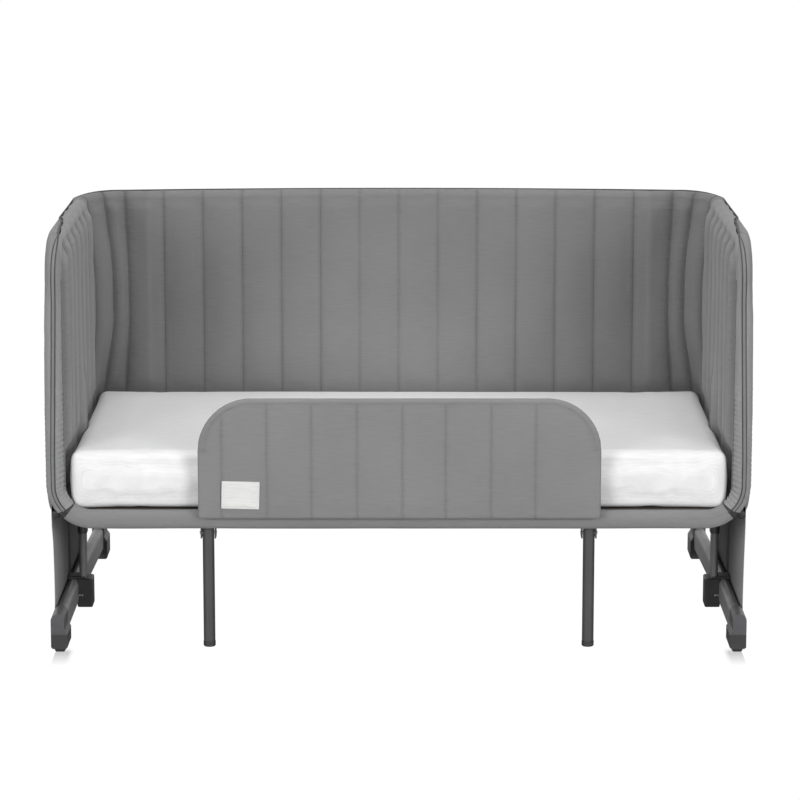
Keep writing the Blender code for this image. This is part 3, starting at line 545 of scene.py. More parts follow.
def rim_out(y, z=TOP_Z):
    """How far the padded rim reaches outboard of the frame's centre, fuller low down and near the front."""
    level = TOP_ROLL - 0.0006 + 0.0018 * fade(FRONT_Y + 0.25, FRONT_Y + 0.50, y)
    corner = smoothstep(0.60, 0.70, z) * fade(FRONT_Y + 0.045, FRONT_Y + 0.125, y)
    return level + (FRONT_ROLL - TOP_ROLL - 0.0012) * fade(0.42, 0.64, z) - 0.0036 * corner


class LiningRun:
    """Measures along the right half of the lining, from its front edge to the middle of the back wall."""

    def __init__(self):
        self.corner_length = 2 * CORNER_REACH - CORNER_SAVED
        self.side_end = LINING_Y - CORNER_REACH - FRONT_Y
        self.back_start = self.side_end + self.corner_length
        half_back = LINING_X - CORNER_REACH
        self.middle = self.back_start + half_back
        sewn = list(SIDE_LINES)
        sewn += [self.side_end + share * self.corner_length for share in CORNER_LINES]
        sewn += [self.middle - k * CHANNEL for k in range(6, -1, -1)]
        front = [-LINING_HEM, -LINING_HEM / 2] + list(np.arange(0, SIDE_LINES[0], FRONT_STEP))
        self.run = np.concatenate([front, spread_between(sewn, LINING_STEP)])
        lines = np.array([-LINING_HEM] + sewn + [self.middle + CHANNEL])
        self.puff = puff_between(self.run, lines)
        self.seam = seam_distance(self.run, lines)
        self.on_side = self.run <= self.side_end
        self.on_back = self.run >= self.back_start
        self.on_corner = ~self.on_side & ~self.on_back
        self.side_y = FRONT_Y + self.run[self.on_side]
        self.back_x = self.middle - self.run[self.on_back]
        self.corner_share = np.clip((self.run - self.side_end) / self.corner_length, 0, 1)
        self.top = np.full(len(self.run), TOP_Z)
        self.top[self.on_side] = rim_top(self.side_y)
        self.top[self.on_back] += CROWN * (1 - (self.back_x / half_back) ** 2)
        self.lean = np.zeros(len(self.run))
        self.lean[self.on_side] = rim_lean(self.side_y)
        self.roll = roll_radius(self.lean) + SHEET_LIFT


def lining_swell(m, z, full):
    """How far the lining stands in from its plane: puffed channels, folds, a bulge over each leg sleeve."""
    folds = ripple(m.run * 16 + 0 * z, z * 4.5, 3.1)
    fine = ripple(m.run * 55 + 0 * z, z * 22, 8.4)
    drag = ripple(m.run * 34 + 0 * z, z * 60, 5.8) * (1 - m.puff)
    deep = np.where(m.on_corner, 1.5, np.where(m.on_side, 1.55, 1.0))
    beside_mattress = fade(mattress_high.z - 0.004, mattress_high.z + 0.030, z)
    swell = LINING_PUFF * deep * m.puff * (0.25 + 0.75 * full) * (1 - 0.85 * beside_mattress)
    swell += (0.0014 * folds + 0.0006 * fine + 0.0010 * drag) * full
    # at its front edge the lining stands off the mattress, leaving a narrow dark gap
    swell -= 0.0065 * beside_mattress * smoothstep(0.0, 0.010, m.run) * fade(0.06, 0.12, m.run)
    over_leg = fade(0.020, 0.060, np.abs(FRONT_Y + m.run - POST_Y))
    over_leg = over_leg * fade(SLEEVE_TOP + 0.010, SLEEVE_TOP + 0.070, z)
    crest = LINING_X - SLEEVE_IN + 0.0030
    return swell + np.maximum(crest - swell, 0) * over_leg


def lining_wall(m):
    """The lining's rows up the walls: x, y and z, and the x and y of the inward direction."""
    x, y, in_x, in_y = (np.zeros((UP_ROWS, len(m.run))) for _ in range(4))
    z = LINING_FOOT_Z + (m.top - LINING_FOOT_Z) * np.linspace(0, 1, UP_ROWS)[:, None]
    rise = (m.top - z) / np.maximum(1 - 0.7 * m.lean, 0.2)
    # the front edge is sewn onto the side of the padded edge band, and the sheet hugs the rim's bend
    on_band = np.where(m.on_side, fade(0.0, 0.012, m.run), 0.0)
    hug = np.maximum(on_band, fade(0.0, 0.014, rise) * smoothstep(0.05, 0.40, m.lean))
    band_x = FRAME_X - np.sqrt(m.roll**2 - np.minimum(m.run, 0) ** 2)
    x[:, m.on_side] = (LINING_X + (band_x - LINING_X) * hug)[:, m.on_side]
    y[:, m.on_side] = m.side_y
    in_x[:, m.on_side] = -1
    corner = corner_point(m.corner_share[m.on_corner], corner_radius(z[:, m.on_corner]))
    x[:, m.on_corner], y[:, m.on_corner], in_x[:, m.on_corner], in_y[:, m.on_corner] = corner
    x[:, m.on_back] = m.back_x
    y[:, m.on_back] = LINING_Y
    in_y[:, m.on_back] = -1
    # near the rim the puff dies away and the sheet is drawn out to the padded roll
    from_rim = np.minimum(rise, np.where(m.on_side, m.run * 1.6, 1.0))
    swell = lining_swell(m, z, smoothstep(0.0, 0.020, from_rim))
    flat = smoothstep(-0.02, np.where(m.on_side, 0.050, 0.120), from_rim)
    side_gap = LINING_X - (FRAME_X - m.roll)
    back_gap = LINING_Y - (BACK_Y - m.roll)
    pull = (side_gap + (back_gap - side_gap) * smoothstep(0.2, 0.8, m.corner_share)) * (1 - flat)
    inward = (swell + pull) * (1 - hug)
    return x + in_x * inward, y + in_y * inward, z, in_x, in_y


def lining_over_rim(m, x, y, in_x, in_y):
    """The rows over the rim, from the roll's inner side, where the wall's last row lies, to the piping."""
    seam_turn = np.where(m.on_side, seam_at(FRONT_Y + m.run), seam_round_corner(m.corner_share))
    wide = np.full(len(m.run), TOP_ROLL + SHEET_LIFT)
    wide[m.on_side] = rim_out(m.side_y) + SHEET_LIFT
    swing = np.maximum(86 + seam_turn, 0) * fade(0.50, 1.0, m.lean)
    angle = np.radians(90 - swing * np.arange(1, OVER_ROWS + 1)[:, None] / OVER_ROWS)
    out, side = m.roll * np.cos(angle), np.sin(angle)
    across = m.roll - np.where(side >= 0, m.roll, wide) * side
    z = m.top + out * np.sqrt(np.maximum(1 - m.lean**2, 0))
    return x - in_x * across, y - in_y * across - out * m.lean, z


def lining_seams_and_shade(m, points):
    """The distance to the nearest seam at each point, as the cloth's material takes it for its painted crease
    shade, and near zero where painted shade is wanted in the gap beside the mattress.
    """
    run = both_sides(m.run)
    # painted shade: seen along the wall, the shaded creases of the side walls and corners look broad, so the
    # darkening spreads further from their seams
    wider_seam_shade = np.where(m.on_side, 0.12, np.where(m.on_corner, 0.45, 1.0))
    # on the back wall they are pulled flatter, most of all in the middle, so the painted crease shade there
    # is fainter
    flatter = 0.0020 - 0.0010 * smoothstep(0.10, 0.17, np.abs(m.middle - m.run))
    flatter *= m.on_back * smoothstep(0, 0.04, m.run - m.back_start)
    uneven = 1 + 0.6 * ripple(points[..., 0] * 9, points[..., 2] * 14, 1.3)
    seams = both_sides(m.seam * wider_seam_shade) + both_sides(flatter) * np.maximum(uneven, 0.2)
    # the narrow gap beside the mattress is in shade
    over_mattress = points[..., 2] - mattress_high.z
    shade = np.abs(over_mattress - 0.002) * 0.45 + 0.012 * smoothstep(0.25, 0.48, run)
    shade = np.where(run < m.side_end - 0.03, shade, NO_SEAM)
    shade[(over_mattress < 0) & (run < 0.060)] = 0.0
    seams = np.minimum(seams, shade)
    seams[-2:] = NO_SEAM
    seams[UP_ROWS:, both_sides(m.on_side)] = NO_SEAM
    return seams


def lining_painted_light(m):
    """Painted light and shade: the cloth paler on the side walls, darker in the corners and a little darker
    where the back wall meets them.
    """
    side = 0.23 - 0.06 * np.clip(m.run, 0, 0.45)
    back = -0.03 * fade(0.0, 0.15, m.run - m.back_start)
    return both_sides(np.where(m.on_side, side, np.where(m.on_corner, -0.12, back)))


def build_lining():
    """Left wall, back wall and right wall as one quilted sheet, sewn over the rim."""
    m = LiningRun()
    x, y, z, in_x, in_y = lining_wall(m)
    over = lining_over_rim(m, x[-1], y[-1], in_x[-1], in_y[-1])
    wall = np.stack([x, y, z], axis=-1)
    points = both_walls(np.concatenate([wall, np.stack(over, axis=-1)]))
    uv = np.stack([np.broadcast_to(run_on(m.run), points.shape[:2]), points[..., 2]], axis=-1)
    lining = sheet_mesh("quilted_lining", points, uv, lining_seams_and_shade(m, points), lining_painted_light(m))
    lining.data.flip_normals()
    thicken(lining, LINING_THICK)
    link(lining, LINING_CLOTH, "bed_body", [f"{wall}_wall_pad" for wall in WALLS])


def build_outer_cover():
    """The outside fabric: one sheet from the left front edge round the back to the right front edge."""
    straight_x = FRAME_X - BACK_BEND
    bend_y = BACK_Y - BACK_BEND
    side_y = np.linspace(FRONT_Y, bend_y, 110)
    turns = np.linspace(0, math.pi / 2, 25)[1:]
    back_x = np.linspace(straight_x, 0, 70)[1:]
    run = np.concatenate(
        [side_y - FRONT_Y, bend_y - FRONT_Y + BACK_BEND * turns]
        + [bend_y - FRONT_Y + BACK_BEND * math.pi / 2 + straight_x - back_x]
    )
    columns = len(run)
    first, second = len(side_y), len(side_y) + len(turns)
    centre_x = np.concatenate([np.full(first, FRAME_X), straight_x + BACK_BEND * np.cos(turns), back_x])
    centre_y = np.concatenate([side_y, bend_y + BACK_BEND * np.sin(turns), np.full(len(back_x), BACK_Y)])
    out_x = np.concatenate([np.ones(first), np.cos(turns), np.zeros(len(back_x))])
    out_y = np.concatenate([np.zeros(first), np.sin(turns), np.ones(len(back_x))])
    lean = np.zeros(columns)
    lean[:first] = rim_lean(side_y)
    top = np.full(columns, TOP_Z)
    top[:first] = rim_top(side_y)
    top[second:] += CROWN * (1 - (back_x / straight_x) ** 2)
    roll = roll_radius(lean) + SHEET_LIFT
    share = turns / (math.pi / 2)
    wide = np.full(columns, roll[-1])
    wide[:second] = rim_out(centre_y[:second]) + SHEET_LIFT
    wide[first:second] += (roll[-1] - wide[first:second]) * smoothstep(0.0, 1.0, share)
    seam_turn = np.full(columns, BACK_SEAM)
    seam_turn[first:second] = seam_round_corner(share)
    seam_turn[:first] = seam_at(side_y)
    # the front lower corner is cut back in a curve, clear of the padded edge
    curve_long, curve_high = 0.130, 0.105
    short = np.clip(1 - (side_y - FRONT_Y) / curve_long, 0, 1)
    foot = np.full(columns, COVER_FOOT_Z)
    foot[:first] += curve_high * (1 - np.sqrt(1 - short**2))

    tuck_rows, up_rows, over_rows = 4, 46, 9
    belly = FRONT_ROLL - 0.0004
    level = np.arange(tuck_rows)[:, None] / tuck_rows
    hem_turn = math.pi / 2 * level + np.zeros(columns)
    tuck = belly - 0.0035 * (1 - np.cos(hem_turn)) - 0.006 * (1 - level)
    tuck_z = foot - 0.0030 * np.cos(hem_turn) + 0.002 * (1 - level)
    level = np.linspace(0, 1, up_rows)[:, None]
    up_z = foot + (top - foot) * level
    slack = np.minimum(1, np.minimum(4 * level, 6 * (1 - level)))
    folds = ripple(run * 7 + 0 * up_z, up_z * 3.0, 5.2) * 0.0011 * slack
    up = belly + (wide - belly) * smoothstep(0.45, TOP_Z, up_z) + np.minimum(folds, 0.0)
    up = np.where(lean > 0, np.minimum(up, rim_out(centre_y, up_z) + 0.0004), up)
    swing = (90 - seam_turn) * fade(0.02, 0.55, lean)
    angle = np.radians(90 - swing * np.arange(1, over_rows + 1)[:, None] / over_rows)
    rise = roll * np.cos(angle)
    over_z = top + rise * np.sqrt(np.maximum(1 - lean**2, 0))
    reach = np.concatenate([tuck, up, wide * np.sin(angle)])
    x, y = centre_x + out_x * reach, centre_y + out_y * reach
    y[-over_rows:] -= rise * lean
    points = both_walls(np.stack([x, y, np.concatenate([tuck_z, up_z, over_z])], axis=-1))
    all_run = run_on(run)
    # upright seams where the side panels are sewn to the back panel, and a hem line above the foot
    side_seam = bend_y - FRONT_Y - 0.004
    upright = np.minimum(np.abs(all_run - side_seam), np.abs(2 * run[-1] - all_run - side_seam))
    hem = np.abs(points[..., 2] - (COVER_FOOT_Z + 0.022))
    uv = np.stack([np.broadcast_to(all_run, hem.shape), points[..., 2]], axis=-1)
    fabric = sheet_mesh("outer_fabric", points, uv, np.minimum(upright, hem))
    thicken(fabric, COVER_THICK)
    link(fabric, COVER_CLOTH, "bed_body", [f"{wall}_outer_cover" for wall in WALLS])


# ---------- the rim, its edge bands, zip and piping ----------


def front_bend(degrees):
    turn = math.radians(degrees)
    x = FRAME_X - FRONT_BEND + FRONT_BEND * math.sin(turn)
    z = RAIL_Z + FRONT_BEND - FRONT_BEND * math.cos(turn)
    return Vector((x, FRONT_Y, z)), Vector((math.sin(turn), 0, -math.cos(turn)))


def rim_stations():
    """Stations along the right-hand rim, from its foot to the middle of the back.

    Each has the rim's centre, the directions out of its crest and outboard, and its lean."""
    found = []
    for i in range(BEND_STATIONS):
        centre, outward = front_bend(BAND_START + (90 - BAND_START) * i / (BEND_STATIONS - 1))
        found.append((centre, Vector((0, -1, 0)), outward, 1.0))
    low = RAIL_Z + FRONT_BEND
    high = TOP_Z - TOP_BEND
    for i in range(1, UPRIGHT_STEPS + 1):
        centre = Vector((FRAME_X, FRONT_Y, low + (high - low) * i / UPRIGHT_STEPS))
        found.append((centre, Vector((0, -1, 0)), Vector((1, 0, 0)), 1.0))
    for i in range(1, 17):
        turn = math.pi / 2 * i / 16
        normal = Vector((0, -math.cos(turn), math.sin(turn)))
        middle = Vector((FRAME_X, FRONT_Y + TOP_BEND, TOP_Z - TOP_BEND))
        found.append((middle + TOP_BEND * normal, normal, Vector((1, 0, 0)), math.cos(turn)))
    bend_y = BACK_Y - BACK_BEND
    up = Vector((0, 0, 1))
    for i in range(1, 31):
        y = FRONT_Y + TOP_BEND + (bend_y - FRONT_Y - TOP_BEND) * i / 30
        found.append((Vector((FRAME_X, y, TOP_Z)), up, Vector((1, 0, 0)), 0.0))
    straight = FRAME_X - BACK_BEND
    for i in range(1, 17):
        turn = math.pi / 2 * i / 16
        outward = Vector((math.cos(turn), math.sin(turn), 0))
        found.append((Vector((straight, bend_y, TOP_Z)) + BACK_BEND * outward, up, outward, 0.0))
    for i in range(1, 31):
        x = straight * (1 - i / 30)
        height = TOP_Z + CROWN * (1 - (x / straight) ** 2)
        found.append((Vector((x, BACK_Y, height)), up, Vector((0, 1, 0)), 0.0))
    return found


STATIONS = rim_stations()
BAND_STATIONS = STATIONS[: BEND_STATIONS + UPRIGHT_STEPS + 16]


def on_rim(station, degrees, lift=0.0):
    """A point on the roll: 0 degrees on its crest, positive towards the inside of the bed."""
    centre, normal, outward, lean = station
    reach = float(roll_radius(lean)) + lift
    out = reach if degrees > 0 or outward.x < 0.5 else float(rim_out(centre.y, centre.z)) + lift
    turn = math.radians(degrees)
    return centre + reach * math.cos(turn) * normal - out * math.sin(turn) * outward


def mirrored(points, side):
    return [(side * p[0], p[1], p[2]) for p in points]


def band_point(station, run, turn, side):
    """A point of the edge band and its UV, at a turn round the tube, after a run from the band's low end."""
    centre, normal, outward, lean = station
    reach = float(roll_radius(lean)) - 0.0002
    c, s = math.cos(turn), math.sin(turn)
    inner = max(0.0, -s)
    low = 1 - 0.75 * float(smoothstep(0.05, 0.36, run))  # puckered deeper low down
    drift = noise.noise(Vector((run * 22, side, 4.0)))
    wave = math.sin(run * 2 * math.pi / PUCKER_LENGTH + 2.4 * c + 2.0 * s + 3.0 * drift)
    pucker = (0.0007 + 0.0015 * inner * low) * low * wave * (0.55 + 0.45 * drift)
    soft = 0.0006 * noise.noise(Vector((run * 30, c * 2, s * 2 + side)))
    rough = min(pucker + soft, 0.0004)
    wide = reach if s < 0 else float(rim_out(centre.y, centre.z)) - 0.0002
    place = centre + (reach + rough) * c * normal + (wide + rough) * s * outward
    # the low end is cut at a slant, longer on the inside of the bend
    slant = math.radians(BAND_CUT) * s * max(0.0, 1 - run / 0.02)
    place += (FRONT_BEND + wide * s) * slant * Vector((-outward.z, 0, outward.x))
    return (side * place.x, place.y, place.z), (reach * turn, run)


def build_edge_band(side_name, side):
    """The padded fabric edge round the upright, puckered where it turns in under the bed."""
    name = f"{side_name}_edge_band"
    band = swept_ring(name, BAND_STATIONS, 40, lambda *where: band_point(*where, side))
    link(band, BAND_CLOTH, "bed_body", (f"{side_name}_front_trim",))


def swept_ring(name, stations, around, point_at):
    """A closed piece swept along stations. point_at gives a place and its UV from station, run and turn."""
    rows, uv, run = [], [], 0.0
    for before, station in zip(stations[:1] + stations, stations):
        run += (station[0] - before[0]).length
        places, flats = zip(*[point_at(station, run, 2 * math.pi * i / around) for i in range(around)])
        rows.append(places)
        uv.append(flats)
    ring = sheet_mesh(name, np.array(rows), np.array(uv), ring=True)
    cap_ends(ring.data, around)
    return ring


def cap_ends(mesh, around):
    """Close both ends of a swept ring with a slightly domed folded end."""
    work = bmesh.new()
    work.from_mesh(mesh)
    work.verts.ensure_lookup_table()
    count = len(work.verts)
    for ring in (range(around), range(count - around, count)):
        verts = [work.verts[i] for i in ring]
        face = work.faces.new(verts)
        bmesh.ops.inset_region(work, faces=[face], thickness=0.0015, depth=0.0008)
        work.verts.ensure_lookup_table()
    bmesh.ops.recalc_face_normals(work, faces=work.faces)
    work.to_mesh(mesh)
    work.free()
    mesh.shade_smooth()
    mesh.set_sharp_from_angle(angle=math.radians(50))


def piping_turn(station):
    """Degrees outboard of the crest where the piping runs."""
    centre, _, outward, _ = station
    behind = smoothstep(0.1, 0.9, math.degrees(math.asin(min(max(outward.y, 0.0), 1.0))) / 90)
    beside = float(seam_at(centre.y, centre.z))
    return beside + (BACK_SEAM - beside) * float(behind)


def build_piping():
    """The dark welt on the crest of the rim, finer where it runs down the front edges beside the zip."""
    half = [on_rim(s, -piping_turn(s), SHEET_LIFT) for s in STATIONS]
    size = [0.0017 - 0.0007 * float(smoothstep(0.2, 0.9, s[3])) for s in STATIONS]
    route = mirrored(half, -1) + mirrored(half[-2::-1], 1)
    welt = rounded_tube("rim_piping", route, size + size[-2::-1])
    link(welt, PIPING_CLOTH, "bed_body")


def build_zip(side_name, side):
    """The zip down the front edge: a tape outboard of the piping, with a second welt on its other side."""
    stations = [s for s in BAND_STATIONS if s[3] > 0.10]
    spans = [(piping_turn(s), ZIP_WIDTH * float(smoothstep(0.05, 0.8, s[3]))) for s in stations]
    outer = [on_rim(s, -(low + wide), 0.0003) for s, (low, wide) in zip(stations, spans)]
    size = [0.0008 * float(smoothstep(0.10, 0.5, s[3])) + 0.0002 for s in stations]
    welt = rounded_tube(f"{side_name}_zip_welt", mirrored(outer, side), size, sides=8)
    link(welt, PIPING_CLOTH, "bed_body")
    rows, uv = [], []
    for index, (station, (low, wide)) in enumerate(zip(stations, spans)):
        row = [on_rim(station, -(low + wide * i / 4), 0.0004) for i in range(5)]
        rows.append([(side * p.x, p.y, p.z) for p in row])
        uv.append([(0.001 * i, 0.01 * index) for i in range(5)])
    tape = sheet_mesh(f"{side_name}_zip_tape", np.array(rows), np.array(uv))
    if side < 0:
        tape.data.flip_normals()
    thicken(tape, 0.0008, offset=0.0)
    link(tape, ZIP_TAPE, "bed_body")


def rail_point(station, run, turn):
    """A point of the rail's sleeve and its UV, at a turn round the tube, after a run from its left end."""
    centre, outward = station
    c, s = math.cos(turn), math.sin(turn)
    square = (abs(c) ** 3.0 + abs(s) ** 3.0) ** (-1 / 3.0)
    soft = 0.0005 * noise.noise(Vector((run * 9, c * 1.5, s * 1.5)))
    reach = RAIL_COVER_R * min(1 + (square - 1) * 0.6, 1.12) / 1.06 + soft
    place = centre + reach * (-c * Vector((0, 1, 0)) * 0.97 + s * outward * 1.05)
    edge = max(0.0, abs(place.x) - RAIL_STRAIGHT) / (FRAME_X - RAIL_STRAIGHT)
    along = Vector((-outward.z, 0, outward.x)) * math.copysign(1, centre.x)
    place += math.radians(RAIL_CUT) * s * edge * reach * 3 * along
    place.z -= RAIL_SAG * (1 - edge)
    return tuple(place), (run, RAIL_COVER_R * turn)


def build_rail_cover():
    """The fabric sleeve on the front rail, flatter in front and cut at an angle at both ends."""
    bend = [front_bend(RAIL_COVER_END * i / 6) for i in range(7)]
    stations = [tuple(Vector((-v.x, v.y, v.z)) for v in station) for station in bend[::-1]]
    for i in range(1, 120):
        x = RAIL_STRAIGHT * (i / 60 - 1)
        stations.append((Vector((x, FRONT_Y, RAIL_Z)), Vector((0, 0, -1))))
    cover = swept_ring("front_rail_sleeve", stations + bend, 44, rail_point)
    link(cover, RAIL_CLOTH, "bed_body", ("front_rail_cover",))


def build_rail_plugs(side_name, side):
    """A moulded plug in the open front end of the base rail."""
    low, high = (Vector(corner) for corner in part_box(f"{side_name}_base_rail"))
    radius = (high.x - low.x) / 2
    centre = Vector(((low.x + high.x) / 2, low.y, RAIL_Z))
    bpy.ops.mesh.primitive_uv_sphere_add(segments=24, ring_count=12, radius=radius, location=(0, 0, 0))
    plug = bpy.context.object
    plug.name = f"{side_name}_rail_plug"
    for vert in plug.data.vertices:
        vert.co = centre + Vector((vert.co.x, vert.co.z * 0.35 - 0.0006, vert.co.y))
    plug.data.shade_smooth()
    link(plug, DARK_PLASTIC, "bed_body")


# ---------- mattress, guard, skirts ----------


def build_mattress():
    """A foam mattress in a fitted white cover, with soft edges, blown up slightly by a cloth simulation."""
    low = mattress_low - Vector(MATTRESS_SPREAD[0])
    high = mattress_high + Vector(MATTRESS_SPREAD[1])
    size = high - low
    middle = (high + low) / 2
    margin = Vector((0.0006, 0.0006, 0.0010))
    work = bmesh.new()
    bmesh.ops.create_cube(work, size=1.0)
    for vert in work.verts:
        vert.co = Vector([vert.co[i] * (size[i] - 2 * margin[i]) for i in range(3)])
    bmesh.ops.bevel(
        work, geom=work.edges[:], offset=MATTRESS_EDGE, segments=5, profile=0.5, affect="EDGES"
    )
    mesh = bpy.data.meshes.new("mattress_soft")
    work.to_mesh(mesh)
    work.free()
    mattress = bpy.data.objects.new("mattress_soft", mesh)
    bpy.context.scene.collection.objects.link(mattress)
    remesh = mattress.modifiers.new("remesh", "REMESH")
    remesh.mode = "VOXEL"
    remesh.voxel_size = MATTRESS_VOXEL
    apply_modifiers(mattress)
    rest = vertices_of(mattress)
    blow_up(mattress, pressure=3.0, frames=14)
    step = vertices_of(mattress) - rest
    length = np.linalg.norm(step, axis=1, keepdims=True)
    moved = rest + step * np.minimum(1, MATTRESS_SWELL / np.maximum(length, 1e-9))
    half = np.array(size) / 2
    moved = np.clip(moved, -half, half)
    moved[:, 2] += 0.0009 * ripple(moved[:, 0] * 5, moved[:, 1] * 6, 1.7) * (moved[:, 2] > 0)
    # pressed in a little where the lining passes over the legs
    press = fade(0.024, 0.066, np.abs(moved[:, 1] + middle.y - POST_Y))
    limit = half[0] - (half[0] - SLEEVE_IN + 0.0042) * press
    moved[:, 0] = np.clip(moved[:, 0], -limit, limit)
    mattress.data.vertices.foreach_set("co", (moved + np.array(middle)).ravel())
    mattress.data.shade_smooth()
    subdivide = mattress.modifiers.new("fine", "SUBSURF")
    subdivide.levels = subdivide.render_levels = 1
    link(mattress, MATTRESS_CLOTH, "mattress_body", ("mattress",))


def vertices_of(obj):
    found = np.empty(len(obj.data.vertices) * 3)
    obj.data.vertices.foreach_get("co", found)
    return found.reshape(-1, 3)


def apply_modifiers(obj):
    graph = bpy.context.evaluated_depsgraph_get()
    mesh = bpy.data.meshes.new_from_object(obj.evaluated_get(graph))
    obj.modifiers.clear()
    old = obj.data
    obj.data = mesh
    bpy.data.meshes.remove(old)


def blow_up(obj, pressure, frames):
    """A short cloth simulation with air inside, applied to the mesh."""
    cloth = obj.modifiers.new("air", "CLOTH")
    cloth.settings.use_pressure = True
    cloth.settings.uniform_pressure_force = pressure
    cloth.settings.effector_weights.gravity = 0
    cloth.settings.tension_stiffness = 40
    cloth.settings.compression_stiffness = 40
    cloth.settings.bending_stiffness = 5
    cloth.settings.quality = 4
    cloth.point_cache.frame_start = 1
    cloth.point_cache.frame_end = frames
    scene = bpy.context.scene
    for number in range(1, frames + 1):
        scene.frame_set(number)
    apply_modifiers(obj)
    scene.frame_set(1)


def guard_outline(x):
    """Lowest and highest Z of the guard at each X: small corners at the foot, large ones at the top."""
    from_side = np.minimum(x - guard_low.x, guard_high.x - x)
    top_in = np.clip(GUARD_TOP_R - from_side, 0, GUARD_TOP_R)
    foot_in = np.clip(GUARD_FOOT_R - from_side, 0, GUARD_FOOT_R)
    high = guard_high.z - GUARD_TOP_R + np.sqrt(GUARD_TOP_R**2 - top_in**2)
    low = guard_low.z + GUARD_FOOT_R - np.sqrt(GUARD_FOOT_R**2 - foot_in**2)
    return low, high


def build_guard():
    """The quilted front guard: channels sewn between a hem and the foot, bound all round its edge."""
    half_thick = (guard_high.y - guard_low.y) / 2
    middle_y = (guard_high.y + guard_low.y) / 2
    rim_steps = [0.0, 0.0015, 0.003, 0.006, 0.010, 0.014, 0.020]
    ends = [guard_low.x + rim_steps[-1], guard_high.x - rim_steps[-1]]
    inner = spread_between(ends[:1] + list(GUARD_LINES) + ends[1:], 0.0045)
    across = np.concatenate(
        [guard_low.x + np.array(rim_steps[:-1]), inner, guard_high.x - np.array(rim_steps[-2::-1])]
    )
    up = np.linspace(0, 1, 61)
    up = 0.6 * up + 0.4 * (np.sin((up - 0.5) * math.pi) * 0.5 + 0.5)
    low, high = guard_outline(across)
    x = np.broadcast_to(across, (len(up), len(across))).copy()
    z = low[None, :] + (high - low)[None, :] * up[:, None]
    lines = np.array([guard_low.x - 0.02] + list(GUARD_LINES) + [guard_high.x - 0.006])
    puff = puff_between(across, lines)[None, :]
    side = np.minimum(x - guard_low.x, guard_high.x - x)
    corner = corner_distance(x, z)
    edge = np.minimum(np.minimum(side, z - guard_low.z), np.minimum(guard_high.z - z, corner))
    edge = np.maximum(edge, 0)
    rim = np.sqrt(np.clip(1 - (1 - np.clip(edge / 0.008, 0, 1)) ** 2, 0, 1))
    inside = smoothstep(0.006, 0.030, edge)
    soft = ripple(x * 14, z * 9, 4.4) * 0.0010 * inside + ripple(x * 60, z * 30, 6.6) * 0.0003 * inside
    thick = rim * (half_thick - 0.0022 + 0.0022 * puff * inside) + soft
    from_top = np.minimum(guard_high.z - z, corner)
    hem_in = 0.011
    hem = 0.0008 * np.exp(-(((from_top - hem_in) / 0.0022) ** 2))
    thick = np.maximum(thick - hem, 0.0002)
    front = np.stack([x, middle_y - thick, z], axis=-1)
    back = np.stack([x, middle_y + thick * 0.9, z], axis=-1)
    seam_x = np.broadcast_to(seam_distance(across, GUARD_LINES), x.shape)
    seam_x = np.where(from_top > hem_in + 0.001, seam_x, NO_SEAM)
    seam = np.minimum(seam_x, np.abs(from_top - hem_in) + 0.0006)
    uv = np.stack([x, z], axis=-1)
    pieces = [sheet_mesh("guard_face", points, uv, seam) for points in (front, back)]
    pieces[1].data.flip_normals()
    guard = join_sheets("quilted_guard", pieces)
    link(guard, GUARD_CLOTH, "guard_body", ("front_guard",))


def corner_distance(x, z):
    """Distance in from the guard's large top corners, and a large number elsewhere."""
    found = np.full(x.shape, 1.0)
    for centre_x, side in ((guard_low.x + GUARD_TOP_R, -1), (guard_high.x - GUARD_TOP_R, 1)):
        over_x = (x - centre_x) * side
        over_z = z - (guard_high.z - GUARD_TOP_R)
        reach = GUARD_TOP_R - np.hypot(over_x, over_z)
        found = np.where((over_x > 0) & (over_z > 0), np.minimum(found, reach), found)
    return found


def join_sheets(name, pieces):
    """Two sheets with the same edge joined into one closed piece."""
    work = bmesh.new()
    for piece in pieces:
        work.from_mesh(piece.data)
    bmesh.ops.remove_doubles(work, verts=work.verts, dist=0.0006)
    holes = [e for e in work.edges if len(e.link_faces) == 1]
    bmesh.ops.holes_fill(work, edges=holes, sides=8)
    bmesh.ops.recalc_face_normals(work, faces=work.faces)
    mesh = pieces[0].data
    work.to_mesh(mesh)
    work.free()
    mesh.name = name
    mesh.shade_smooth()
    made = bpy.data.objects.new(name, mesh)
    for piece in pieces:
        bpy.data.objects.remove(piece)
    return made


def build_tag():
    """The plain woven tag, sewn on all round and a little skewed."""
    low, high = (Vector(corner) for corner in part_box("guard_label"))
    middle = (low + high) / 2
    wide, tall = TAG_SIZE
    tilt = math.radians(TAG_TILT)
    across = np.linspace(-0.5, 0.5, 37)
    up = np.linspace(-0.5, 0.5, 29)
    a, b = np.meshgrid(across * wide, up * tall)
    edge = np.minimum(wide / 2 - np.abs(a), tall / 2 - np.abs(b))
    bow = 0.0005 * smoothstep(0.0, 0.012, edge) + 0.0002 * ripple(a * 80, b * 80, 2.2)
    x = middle.x + TAG_SHIFT[0] + a * math.cos(tilt) + b * math.sin(tilt)
    z = middle.z + TAG_SHIFT[1] - a * math.sin(tilt) + b * math.cos(tilt)
    points = np.stack([x, low.y + 0.0006 - bow, z], axis=-1)
    uv = np.stack([a, b], axis=-1)
    tag = sheet_mesh("plain_tag", points, uv, np.abs(edge - 0.0025) + 0.0003)
    thicken(tag, 0.0006)
    link(tag, TAG_CLOTH, "guard_body", ("guard_label",))


